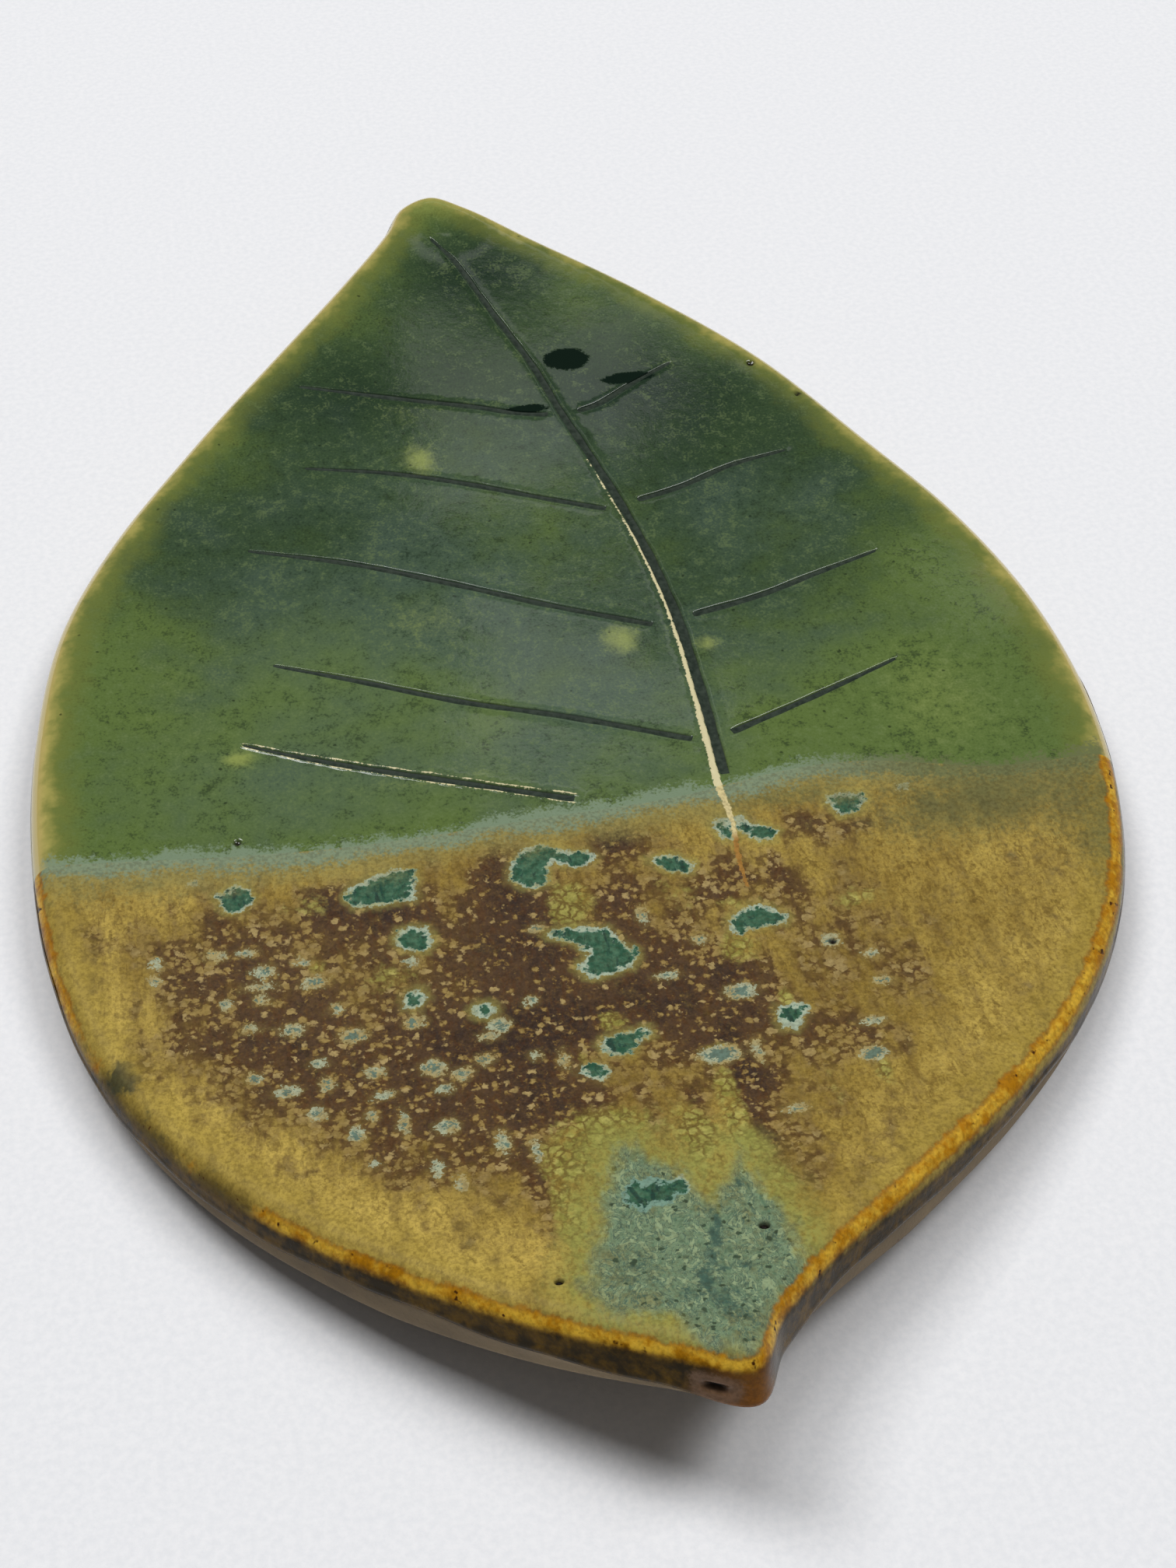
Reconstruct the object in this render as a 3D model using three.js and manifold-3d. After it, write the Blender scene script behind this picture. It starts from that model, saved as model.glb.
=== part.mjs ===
// Leaf platter: a hand-built stoneware slab cut to a leaf, both ends lifted, with carved veins and two glazes.
// Millimetres, +Z up. The tip points to +Y and the origin lies on the table under the middle of the leaf.
import * as THREE from "three";
import { mergeVertices } from "three/addons/utils/BufferGeometryUtils.js";
import Module from "manifold-3d";

// Driving dimensions of the clay slab
const LEAF_LENGTH = 224;
const LEAF_WIDTH = 136;
const CLAY_THICKNESS = 6.1;
const STEM_THICKENING = 3.6;
const STEM_THICKENING_RUN = 58;
const FOOT_RADIUS = 2;

// How far the underside rises at the stem, the tip and the sides, and over what run from the edge
const STEM_LIFT = 11;
const STEM_LIFT_RUN = 67;
const TIP_LIFT = 8;
const TIP_LIFT_RUN = 85;
const SIDE_LIFT = 2;
const SIDE_LIFT_RUN = 33;

// Driving dimensions of the glaze
const GLAZE_THICKNESS = 0.8;
const GLAZE_BOND = 0.3;
const RIM_RADIUS = 3;
const BARE_EDGE = 3.4;
const SEAM_GAP = 0.3;

// Driving dimensions of the carved veins and of the dark glaze that fills them
const MIDRIB_WIDTH = 2.2;
const VEIN_WIDTH = 1.7;
const VEIN_DEPTH = 2.3;
const VEIN_FLOOR_TAPER = 0.25;
const VEIN_END_TAPER = 0.35;
const VEIN_TAPER_RUN = 9;
const INLAY_CLEARANCE = 0.25;
const INLAY_BELOW_GLAZE = 0.5;

// Fineness of the surfaces
const STEPS_PER_POINT = 2;
const ARC_STEPS = 3;
const VEIN_STEP = 6;
const INNER_SHARES = [0.2, 0.46, 0.75, 1];
const SPINE_SHARE = 0.84;
const CUT_REACH = 3;

// Outline of the edge from the tip down the left side to the stem and back up the right side,
// as shares of half the width and half the length. Both sides have the same number of points.
const OUTLINE = [
  [-0.015, 0.998], [-0.092, 0.979], [-0.138, 0.931], [-0.26, 0.834], [-0.449, 0.69], [-0.644, 0.532],
  [-0.816, 0.367], [-0.934, 0.197], [-0.988, 0.011], [-0.999, -0.165], [-0.973, -0.333], [-0.897, -0.487],
  [-0.755, -0.634], [-0.554, -0.767], [-0.324, -0.883], [-0.145, -0.956], [0, -1.002], [0.063, -0.942],
  [0.17, -0.875], [0.348, -0.793], [0.56, -0.687], [0.735, -0.577], [0.877, -0.445], [0.964, -0.295],
  [0.999, -0.13], [0.982, 0.049], [0.909, 0.234], [0.79, 0.409], [0.641, 0.591], [0.429, 0.754],
  [0.196, 0.894], [0.065, 0.97],
];

// Meeting line of the two glazes, from the left edge to the right edge, in the same shares
const SEAM = [
  [-0.847, -0.2], [-0.633, -0.208], [-0.429, -0.215], [-0.225, -0.213], [-0.08, -0.21], [0.065, -0.208],
  [0.192, -0.203], [0.317, -0.191], [0.415, -0.185], [0.525, -0.188], [0.647, -0.207], [0.778, -0.229],
];

// Centre lines of the veins in the same shares. The midrib runs from the tip to the seam,
// and each side vein from its faint outer end to the midrib.
const MIDRIB = [
  [-0.035, 0.9], [0.007, 0.845], [0.065, 0.732], [0.124, 0.617], [0.159, 0.515], [0.196, 0.418],
  [0.23, 0.312], [0.257, 0.188], [0.269, 0.082], [0.268, -0.059], [0.262, -0.18],
];
const LEFT_VEINS = [
  [[-0.388, 0.621], [-0.161, 0.572], [-0.016, 0.542], [0.067, 0.521], [0.13, 0.512]],
  [[-0.404, 0.456], [-0.224, 0.427], [-0.079, 0.392], [0.067, 0.348], [0.195, 0.31]],
  [[-0.545, 0.308], [-0.348, 0.262], [-0.161, 0.203], [0.026, 0.14], [0.217, 0.082]],
  [[-0.525, 0.092], [-0.369, 0.048], [-0.182, -0.009], [0.006, -0.056], [0.224, -0.118]],
  [[-0.602, -0.036], [-0.431, -0.085], [-0.265, -0.127], [-0.119, -0.163], [-0.02, -0.187]],
];
const RIGHT_VEINS = [
  [[0.425, 0.589], [0.317, 0.551], [0.243, 0.522], [0.195, 0.512]],
  [[0.608, 0.384], [0.483, 0.368], [0.358, 0.336], [0.265, 0.32]],
  [[0.711, 0.165], [0.566, 0.138], [0.442, 0.111], [0.3, 0.091]],
  [[0.66, -0.03], [0.545, -0.057], [0.42, -0.087], [0.3, -0.115]],
];

const halfWidth = LEAF_WIDTH / 2;
const halfLength = LEAF_LENGTH / 2;
const glazeCover = GLAZE_BOND + GLAZE_THICKNESS;
const wasm = await Module();
wasm.setup();

function clayMaterial() {
  return new THREE.MeshStandardMaterial({ color: "#b89c86", roughness: 0.9, metalness: 0 });
}

function greenGlazeMaterial() {
  return new THREE.MeshStandardMaterial({ color: "#46552f", roughness: 0.15, metalness: 0 });
}

function amberGlazeMaterial() {
  return new THREE.MeshStandardMaterial({ color: "#8a6a2c", roughness: 0.35, metalness: 0 });
}

function veinGlazeMaterial() {
  return new THREE.MeshStandardMaterial({ color: "#1d2418", roughness: 0.2, metalness: 0 });
}

// Point of the plan for shares of half the width and half the length
function planPoint([across, along]) {
  return new THREE.Vector2(across * halfWidth, along * halfLength);
}

function spline(shares, closed = false) {
  const points = shares.map(planPoint).map((p) => new THREE.Vector3(p.x, p.y, 0));
  return new THREE.CatmullRomCurve3(points, closed, "centripetal");
}

// Rise that starts a run away from an edge and grows with the square of the way, with its slope
function lift(height, run, distanceToEdge) {
  const way = Math.max(0, run - distanceToEdge) / run;
  return { rise: height * way * way, slope: (2 * height * way) / run };
}

// Point at a height over the underside, measured square to the curved slab
function onSlab(plan, height) {
  const stem = lift(STEM_LIFT, STEM_LIFT_RUN, plan.y + halfLength);
  const tip = lift(TIP_LIFT, TIP_LIFT_RUN, halfLength - plan.y);
  const side = lift(SIDE_LIFT, SIDE_LIFT_RUN, halfWidth - Math.abs(plan.x));
  const slopeX = Math.sign(plan.x) * side.slope;
  const slopeY = tip.slope - stem.slope;
  const normal = new THREE.Vector3(-slopeX, -slopeY, 1).normalize();
  const foot = new THREE.Vector3(plan.x, plan.y, stem.rise + tip.rise + side.rise);
  return foot.addScaledVector(normal, height);
}

function clayThickness(plan) {
  const towardsStem = Math.max(0, STEM_THICKENING_RUN - (plan.y + halfLength));
  return CLAY_THICKNESS + (STEM_THICKENING * towardsStem) / STEM_THICKENING_RUN;
}

function fullThickness(plan) {
  return clayThickness(plan) + glazeCover;
}

// Stations round the edge: the point, the inward direction and the point of the spine it runs to.
// Stations of the left and right side at the same place share their point of the spine.
function edgeStations() {
  const curve = spline(OUTLINE, true);
  const count = OUTLINE.length * STEPS_PER_POINT;
  const places = Array.from({ length: count }, (_, i) => curve.getPoint(i / count));
  return places.map((place, i) => {
    const mirrored = places[(count - i) % count];
    const tangent = curve.getTangent(i / count);
    return {
      edge: new THREE.Vector2(place.x, place.y),
      inward: new THREE.Vector2(-tangent.y, tangent.x).normalize(),
      spine: new THREE.Vector2(0, (SPINE_SHARE * (place.y + mirrored.y)) / 2),
    };
  });
}

const stations = edgeStations();

// Ring of points at an inset from the edge. The height is worked out at each point.
function rimRing(inset, heightAt) {
  return stations.map(({ edge, inward }) => {
    const plan = edge.clone().addScaledVector(inward, inset);
    return onSlab(plan, heightAt(plan));
  });
}

// Rings from an inset line to the spine
function innerRings(inset, heightAt) {
  return INNER_SHARES.map((share) =>
    stations.map(({ edge, inward, spine }) => {
      const plan = edge.clone().addScaledVector(inward, inset).lerp(spine, share);
      return onSlab(plan, heightAt(plan));
    }),
  );
}

// Rings over a quarter round whose outermost line is at an inset and whose top is at a height
function topRound(inset, radius, heightAt) {
  return Array.from({ length: ARC_STEPS + 1 }, (_, i) => {
    const angle = ((i / ARC_STEPS) * Math.PI) / 2;
    const across = inset + radius * (1 - Math.cos(angle));
    return rimRing(across, (plan) => heightAt(plan) - radius * (1 - Math.sin(angle)));
  });
}

// Rings over the quarter round at the bottom, from the underside to the wall
function footRound(inset, radius) {
  return Array.from({ length: ARC_STEPS + 1 }, (_, i) => {
    const angle = ((i / ARC_STEPS) * Math.PI) / 2;
    const across = inset + radius * (1 - Math.sin(angle));
    return rimRing(across, () => radius * (1 - Math.cos(angle)));
  });
}

// Closed skin over rings that start and end on the spine
function ringGeometry(rings) {
  const around = stations.length;
  const positions = rings.flat().flatMap((p) => [p.x, p.y, p.z]);
  const index = [];
  for (let ring = 0; ring + 1 < rings.length; ring++) {
    for (let i = 0; i < around; i++) {
      const next = (i + 1) % around;
      const a = ring * around + i;
      const b = ring * around + next;
      index.push(a, b, b + around, a, b + around, a + around);
    }
  }
  return closedGeometry(positions, index);
}

function closedGeometry(positions, index) {
  const geometry = new THREE.BufferGeometry();
  geometry.setAttribute("position", new THREE.Float32BufferAttribute(positions, 3));
  geometry.setIndex(index);
  return mergeVertices(geometry);
}

function toSolid(geometry) {
  return new wasm.Manifold(
    new wasm.Mesh({
      numProp: 3,
      vertProperties: geometry.attributes.position.array,
      triVerts: new Uint32Array(geometry.index.array),
    }),
  );
}

function toGeometry(solid) {
  const { vertProperties, triVerts } = solid.getMesh();
  const geometry = new THREE.BufferGeometry();
  geometry.setAttribute("position", new THREE.Float32BufferAttribute(vertProperties, 3));
  geometry.setIndex(new THREE.BufferAttribute(triVerts, 1));
  geometry.computeVertexNormals();
  return geometry;
}

// Clay body, inset by the glaze that covers its edge
function slabSolid() {
  const topRadius = RIM_RADIUS - glazeCover;
  const rings = [
    ...innerRings(glazeCover + FOOT_RADIUS, () => 0).reverse(),
    ...footRound(glazeCover, FOOT_RADIUS),
    ...topRound(glazeCover, topRadius, clayThickness),
    ...innerRings(RIM_RADIUS, clayThickness),
  ];
  return toSolid(ringGeometry(rings));
}

// Whole glaze coat: over the top, round the rim and down the edge to the bare clay
function coatSolid() {
  const underCoat = (plan) => fullThickness(plan) - GLAZE_THICKNESS;
  const lowerEdge = (plan) => Math.min(BARE_EDGE, fullThickness(plan) - RIM_RADIUS);
  const outside = [
    rimRing(0, lowerEdge),
    ...topRound(0, RIM_RADIUS, fullThickness),
    ...innerRings(RIM_RADIUS, fullThickness),
  ];
  const inside = [
    rimRing(GLAZE_THICKNESS, lowerEdge),
    ...topRound(GLAZE_THICKNESS, RIM_RADIUS - GLAZE_THICKNESS, underCoat),
    ...innerRings(RIM_RADIUS, underCoat),
  ];
  return toSolid(ringGeometry([...inside.reverse(), ...outside]));
}

// Upright block over all that lies on the tip side of the seam, moved along Y
function tipSideBlock(shiftY) {
  const reach = LEAF_WIDTH;
  const line = spline(SEAM).getSpacedPoints(SEAM.length * STEPS_PER_POINT);
  const first = line[0];
  const last = line[line.length - 1];
  const corners = [
    [reach, last.y + shiftY], [reach, LEAF_LENGTH], [-reach, LEAF_LENGTH], [-reach, first.y + shiftY],
  ];
  const shape = new THREE.Shape([
    ...line.map((p) => new THREE.Vector2(p.x, p.y + shiftY)),
    ...corners.map(([x, y]) => new THREE.Vector2(x, y)),
  ]);
  const height = STEM_LIFT + TIP_LIFT + SIDE_LIFT + fullThickness(new THREE.Vector2(0, -halfLength));
  const block = new THREE.ExtrudeGeometry(shape, { depth: height + 2 * CUT_REACH, bevelEnabled: false });
  block.translate(0, 0, -CUT_REACH);
  block.deleteAttribute("normal");
  block.deleteAttribute("uv");
  return toSolid(mergeVertices(block));
}

// Bar along a vein, shortened at both ends. Its section is worked out from the width at each step:
// pairs of an offset across the vein and a height over the glaze, in order round the section.
function veinBar(shares, width, shortening, sectionAt) {
  const curve = spline(shares);
  const length = curve.getLength();
  const from = shortening / length;
  const steps = Math.ceil(length / VEIN_STEP);
  const positions = [];
  let corners = 0;
  for (let step = 0; step <= steps; step++) {
    const way = from + ((1 - 2 * from) * step) / steps;
    const place = curve.getPointAt(way);
    const tangent = curve.getTangentAt(way);
    const across = new THREE.Vector2(-tangent.y, tangent.x).normalize();
    const endDistance = length * Math.min(way, 1 - way);
    const fullness = Math.min(1, endDistance / VEIN_TAPER_RUN);
    const section = sectionAt((width / 2) * (1 - VEIN_END_TAPER * (1 - fullness)));
    corners = section.length;
    for (const [offset, height] of section) {
      const plan = new THREE.Vector2(place.x, place.y).addScaledVector(across, offset);
      positions.push(...onSlab(plan, fullThickness(plan) + height).toArray());
    }
  }
  return toSolid(closedGeometry(positions, barFaces(corners, steps)));
}

function barFaces(corners, steps) {
  const index = [];
  for (let step = 0; step < steps; step++) {
    for (let i = 0; i < corners; i++) {
      const next = (i + 1) % corners;
      const a = step * corners + i;
      const b = step * corners + next;
      index.push(a, b, b + corners, a, b + corners, a + corners);
    }
  }
  const last = steps * corners;
  for (let i = 1; i + 1 < corners; i++) {
    index.push(0, i + 1, i, last, last + i, last + i + 1);
  }
  return index;
}

// Half width of a vein's channel at a depth under the glaze
function channelHalf(halfTop, depth) {
  return halfTop * (1 - (VEIN_FLOOR_TAPER * depth) / VEIN_DEPTH);
}

function channelSection(halfTop) {
  const halfFloor = channelHalf(halfTop, VEIN_DEPTH);
  return [
    [-halfFloor, -VEIN_DEPTH], [halfFloor, -VEIN_DEPTH], [halfTop, 0],
    [halfTop, CUT_REACH], [-halfTop, CUT_REACH], [-halfTop, 0],
  ];
}

function inlaySection(halfTop) {
  const floor = VEIN_DEPTH - INLAY_CLEARANCE;
  const halfFloor = channelHalf(halfTop, floor) - INLAY_CLEARANCE;
  const halfUpper = channelHalf(halfTop, INLAY_BELOW_GLAZE) - INLAY_CLEARANCE;
  return [
    [-halfFloor, -floor], [halfFloor, -floor],
    [halfUpper, -INLAY_BELOW_GLAZE], [-halfUpper, -INLAY_BELOW_GLAZE],
  ];
}

const veins = [
  { name: "midrib_glaze", shares: MIDRIB, width: MIDRIB_WIDTH },
  ...LEFT_VEINS.map((shares, i) => ({ name: `left_vein_glaze_${i + 1}`, shares, width: VEIN_WIDTH })),
  ...RIGHT_VEINS.map((shares, i) => ({ name: `right_vein_glaze_${i + 1}`, shares, width: VEIN_WIDTH })),
];

const channels = veins
  .map(({ shares, width }) => veinBar(shares, width, 0, channelSection))
  .reduce((all, one) => all.add(one));

function addPiece(group, name, solid, material) {
  const mesh = new THREE.Mesh(toGeometry(solid), material);
  mesh.name = name;
  group.add(mesh);
}

const platter = new THREE.Group();
platter.name = "leaf_platter";

const body = new THREE.Group();
addPiece(body, "stoneware_slab", slabSolid().subtract(channels), clayMaterial());
platter.add(body);

const glazes = new THREE.Group();
const coat = coatSolid().subtract(channels);
addPiece(glazes, "green_glaze_coat", coat.intersect(tipSideBlock(SEAM_GAP / 2)), greenGlazeMaterial());
addPiece(glazes, "amber_glaze_coat", coat.subtract(tipSideBlock(-SEAM_GAP / 2)), amberGlazeMaterial());
platter.add(glazes);

const inlays = new THREE.Group();
for (const { name, shares, width } of veins) {
  addPiece(inlays, name, veinBar(shares, width, INLAY_CLEARANCE, inlaySection), veinGlazeMaterial());
}
platter.add(inlays);

export default platter;
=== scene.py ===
"""Looks of the leaf platter: the glazed top, the rim, the bare clay and the dark glaze in the carved veins.

Lengths are in millimetres until a mesh is made, where MM turns them into metres.
"""

import math

import bpy
import numpy as np
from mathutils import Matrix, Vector
from mathutils import noise as perlin
from mathutils.geometry import delaunay_2d_cdt
from mathutils.kdtree import KDTree


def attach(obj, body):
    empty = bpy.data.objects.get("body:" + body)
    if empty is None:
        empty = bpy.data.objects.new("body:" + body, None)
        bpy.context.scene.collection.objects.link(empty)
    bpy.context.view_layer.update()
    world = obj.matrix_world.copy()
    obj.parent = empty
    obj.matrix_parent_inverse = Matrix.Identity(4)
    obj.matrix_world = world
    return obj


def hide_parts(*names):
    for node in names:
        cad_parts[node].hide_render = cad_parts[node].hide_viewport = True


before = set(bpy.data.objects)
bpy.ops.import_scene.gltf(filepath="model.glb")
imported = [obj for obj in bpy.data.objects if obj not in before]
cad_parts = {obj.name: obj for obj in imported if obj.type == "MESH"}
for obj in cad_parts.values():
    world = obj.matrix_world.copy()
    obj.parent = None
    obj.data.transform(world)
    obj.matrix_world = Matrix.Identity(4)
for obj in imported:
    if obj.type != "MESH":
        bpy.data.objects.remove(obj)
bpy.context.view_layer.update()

MM = 0.001

# The slab's form, as in the solids
HALF_LENGTH = 112.0
HALF_WIDTH = 68.0
CLAY_THICKNESS = 6.1
STEM_THICKENING = 3.6
STEM_THICKENING_RUN = 58.0
STEM_LIFT, STEM_LIFT_RUN = 11.0, 67.0
TIP_LIFT, TIP_LIFT_RUN = 8.0, 85.0
SIDE_LIFT, SIDE_LIFT_RUN = 2.0, 33.0
GLAZE_THICKNESS = 0.8
GLAZE_COVER = 1.1
RIM_RADIUS = 3.0
FOOT_RADIUS = 2.0
BARE_EDGE = 3.4

# The outline, the seam of the glazes and the veins, as shares of half the width and half the length
OUTLINE = [
    (-0.015, 0.998), (-0.092, 0.979), (-0.138, 0.931), (-0.26, 0.834), (-0.449, 0.69), (-0.644, 0.532),
    (-0.816, 0.367), (-0.934, 0.197), (-0.988, 0.011), (-0.999, -0.165), (-0.973, -0.333),
    (-0.897, -0.487), (-0.755, -0.634), (-0.554, -0.767), (-0.324, -0.883), (-0.145, -0.956),
    (0, -1.002), (0.063, -0.942), (0.17, -0.875), (0.348, -0.793), (0.56, -0.687), (0.735, -0.577),
    (0.877, -0.445), (0.964, -0.295), (0.999, -0.13), (0.982, 0.049), (0.909, 0.234), (0.79, 0.409),
    (0.641, 0.591), (0.429, 0.754), (0.196, 0.894), (0.065, 0.97),
]
SEAM = [
    (-1.2, -0.2), (-0.847, -0.2), (-0.633, -0.208), (-0.429, -0.215), (-0.225, -0.213), (-0.08, -0.21),
    (0.065, -0.208), (0.192, -0.203), (0.317, -0.191), (0.415, -0.185), (0.525, -0.188), (0.647, -0.207),
    (0.778, -0.229), (1.2, -0.229),
]
MIDRIB = [
    (-0.035, 0.9), (0.007, 0.845), (0.065, 0.732), (0.124, 0.617), (0.159, 0.515), (0.196, 0.418),
    (0.23, 0.312), (0.257, 0.188), (0.269, 0.082), (0.268, -0.059), (0.262, -0.18),
]
LEFT_VEINS = [
    [(-0.388, 0.621), (-0.161, 0.572), (-0.016, 0.542), (0.067, 0.521), (0.13, 0.512)],
    [(-0.404, 0.456), (-0.224, 0.427), (-0.079, 0.392), (0.067, 0.348), (0.195, 0.31)],
    [(-0.545, 0.308), (-0.348, 0.262), (-0.161, 0.203), (0.026, 0.14), (0.217, 0.082)],
    [(-0.525, 0.092), (-0.369, 0.048), (-0.182, -0.009), (0.006, -0.056), (0.224, -0.118)],
    [(-0.602, -0.036), (-0.431, -0.085), (-0.265, -0.127), (-0.119, -0.163), (-0.02, -0.187)],
]
RIGHT_VEINS = [
    [(0.425, 0.589), (0.317, 0.551), (0.243, 0.522), (0.195, 0.512)],
    [(0.608, 0.384), (0.483, 0.368), (0.358, 0.336), (0.265, 0.32)],
    [(0.711, 0.165), (0.566, 0.138), (0.442, 0.111), (0.3, 0.091)],
    [(0.66, -0.03), (0.545, -0.057), (0.42, -0.087), (0.3, -0.115)],
]

# Grooves of the veins as the glaze leaves them
MIDRIB_HALF, VEIN_HALF = 0.74, 0.54
MIDRIB_DEPTH, VEIN_DEPTH = 0.8, 0.6
MIDRIB_GROWTH, VEIN_GROWTH = 90.0, 18.0
FAINT_HALF, FAINT_DEPTH = 0.4, 0.25
GROOVE_SHOULDER = 0.8
FILL_LEVEL = 0.3
FILL_HOLLOW = 0.15
# Lip beside a groove: its height, and its place and width in half widths of the groove
LIP_HEIGHT, LIP_PLACE, LIP_WIDTH = 0.04, 1.45, 0.4
BURR_HEIGHT = 0.25
BLUNT_END = 1.2

# Fineness of the meshes
STATIONS = 1200
GREEN_SPACING, AMBER_SPACING, HIDDEN_SPACING = 0.95, 0.5, 4.0
VEIN_SPACING = 0.45
VEIN_OFFSETS = (0.0, 0.35, 0.62, 0.8, 0.95, 1.12, 1.35, 1.65, 2.1)
SEAM_SPACING = 0.5
RIM_STEPS, WALL_STEPS = 9, 10
INNER_RIM_STEPS, FOOT_STEPS = 3, 6
OUTLINE_STEPS, VEIN_STEPS, SEAM_STEPS, BURR_STEPS = 40, 30, 20, 40


# Curves in the plan

def plan_points(shares):
    return np.array(shares, float) * (HALF_WIDTH, HALF_LENGTH)


def spline(points, steps, closed=False):
    """Centripetal Catmull-Rom curve through the points, with so many steps to a span."""
    if closed:
        points = np.vstack([points[-1:], points, points[:2]])
    else:
        points = np.vstack([2 * points[0] - points[1], points, 2 * points[-1] - points[-2]])
    t = np.linspace(0, 1, steps, endpoint=False)[:, None]
    spans = []
    for before, start, end, after in zip(points, points[1:], points[2:], points[3:]):
        k0 = np.linalg.norm(start - before) ** 0.5
        k1 = np.linalg.norm(end - start) ** 0.5
        k2 = np.linalg.norm(after - end) ** 0.5
        leave = k1 * ((start - before) / k0 - (end - before) / (k0 + k1) + (end - start) / k1)
        arrive = k1 * ((end - start) / k1 - (after - start) / (k1 + k2) + (after - end) / k2)
        spans.append(
            (2 * t**3 - 3 * t**2 + 1) * start + (t**3 - 2 * t**2 + t) * leave
            + (3 * t**2 - 2 * t**3) * end + (t**3 - t**2) * arrive
        )
    curve = np.vstack(spans)
    return curve if closed else np.vstack([curve, points[-2]])


def spaced(curve, count, closed=False):
    """The curve at so many even steps of its length."""
    line = np.vstack([curve, curve[:1]]) if closed else curve
    length = np.concatenate([[0], np.cumsum(np.linalg.norm(np.diff(line, axis=0), axis=1))])
    at = np.linspace(0, length[-1], count, endpoint=not closed)
    return np.stack([np.interp(at, length, line[:, 0]), np.interp(at, length, line[:, 1])], 1)


def curve_length(curve):
    return np.linalg.norm(np.diff(curve, axis=0), axis=1).sum()


def turned_left(vectors):
    return np.stack([-vectors[:, 1], vectors[:, 0]], 1)


def bell(values, place, width):
    return np.exp(-(((values - place) / width) ** 2))


def unit(vectors):
    return vectors / np.linalg.norm(vectors, axis=1, keepdims=True)


def smoothed_round(vectors, reach):
    """Vectors of a closed row, each averaged with its neighbours."""
    offsets = np.arange(-3 * reach, 3 * reach + 1)
    weights = np.exp(-((offsets / reach) ** 2) / 2)
    return sum(w * np.roll(vectors, -o, axis=0) for o, w in zip(offsets, weights)) / weights.sum()


edge = spaced(spline(plan_points(OUTLINE), OUTLINE_STEPS, closed=True), STATIONS, closed=True)
edge_tangent = unit(np.roll(edge, -1, axis=0) - np.roll(edge, 1, axis=0))
INWARD_REACH = 7
edge_inward = unit(smoothed_round(turned_left(edge_tangent), INWARD_REACH))
seam_line = spline(plan_points(SEAM), SEAM_STEPS)


def seam_y(x):
    return np.interp(x, seam_line[:, 0], seam_line[:, 1])


def seam_distance(plan):
    """How far a point lies on the tip side of the seam, along Y."""
    return plan[:, 1] - seam_y(plan[:, 0])


# The form of the slab

def lift(height, run, distance):
    way = np.maximum(0, run - distance) / run
    return height * way**2, 2 * height * way / run


def on_slab(plan, height):
    """Points at a height over the underside, measured square to the curved slab."""
    x, y = plan.T
    stem_rise, stem_slope = lift(STEM_LIFT, STEM_LIFT_RUN, y + HALF_LENGTH)
    tip_rise, tip_slope = lift(TIP_LIFT, TIP_LIFT_RUN, HALF_LENGTH - y)
    side_rise, side_slope = lift(SIDE_LIFT, SIDE_LIFT_RUN, HALF_WIDTH - np.abs(x))
    normal = unit(np.stack([-np.sign(x) * side_slope, stem_slope - tip_slope, np.ones_like(x)], 1))
    foot = np.stack([x, y, stem_rise + tip_rise + side_rise], 1)
    return foot + normal * np.broadcast_to(height, x.shape)[:, None]


# Slight unevenness of a slab shaped by hand
SLOW_WAVE, QUICK_WAVE, CROSS_WAVE = 0.07, 0.02, 0.015


def hand_wave(plan):
    x, y = plan.T
    slow = SLOW_WAVE * np.sin(x / 11 + 0.7) * np.cos(y / 15 - 0.4)
    quick = QUICK_WAVE * np.sin(x / 5.3 + y / 7.1) + CROSS_WAVE * np.cos(y / 4.3 - x / 9.7)
    return slow + quick


# Shallow dish in the tip
DISH_PLACE, DISH_RADIUS, DISH_DEPTH = (0.5, 102.3), 4.2, 0.75


def dish_depth(plan):
    spread = np.hypot(plan[:, 0] - DISH_PLACE[0], plan[:, 1] - DISH_PLACE[1]) / DISH_RADIUS
    return DISH_DEPTH * np.exp(-(spread**2))


def full_thickness(plan):
    towards_stem = np.maximum(0, STEM_THICKENING_RUN - (plan[:, 1] + HALF_LENGTH))
    thickening = STEM_THICKENING * towards_stem / STEM_THICKENING_RUN
    return CLAY_THICKNESS + thickening + GLAZE_COVER + hand_wave(plan) - dish_depth(plan)


# The carved veins

# Unevenness of a groove's width, as shares of it
WIDTH_WAVE, WIDTH_RIPPLE = 0.06, 0.05


class Vein:
    """One carved line from its faint outer end to its inner end, with its size along the way."""

    def __init__(self, name, shares, half, depth, growth):
        curve = spline(plan_points(shares), VEIN_STEPS)
        count = int(curve_length(curve) / VEIN_SPACING) + 1
        self.name = name
        self.line = spaced(curve, count)
        self.across = turned_left(unit(np.gradient(self.line, axis=0)))
        way = np.linspace(0, curve_length(self.line), count)
        grown = np.sqrt(np.clip(way / growth, 0, 1))
        blunt = np.sqrt(np.clip((way[-1] - way) / BLUNT_END, 0, 1))
        unevenness = WIDTH_WAVE * np.sin(way / 2.3 + half * 40) + WIDTH_RIPPLE * np.sin(way / 0.9 + depth * 9)
        self.half = half * (FAINT_HALF + (1 - FAINT_HALF) * grown) * (1 + unevenness)
        self.depth = depth * (FAINT_DEPTH + (1 - FAINT_DEPTH) * grown) * blunt


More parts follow.
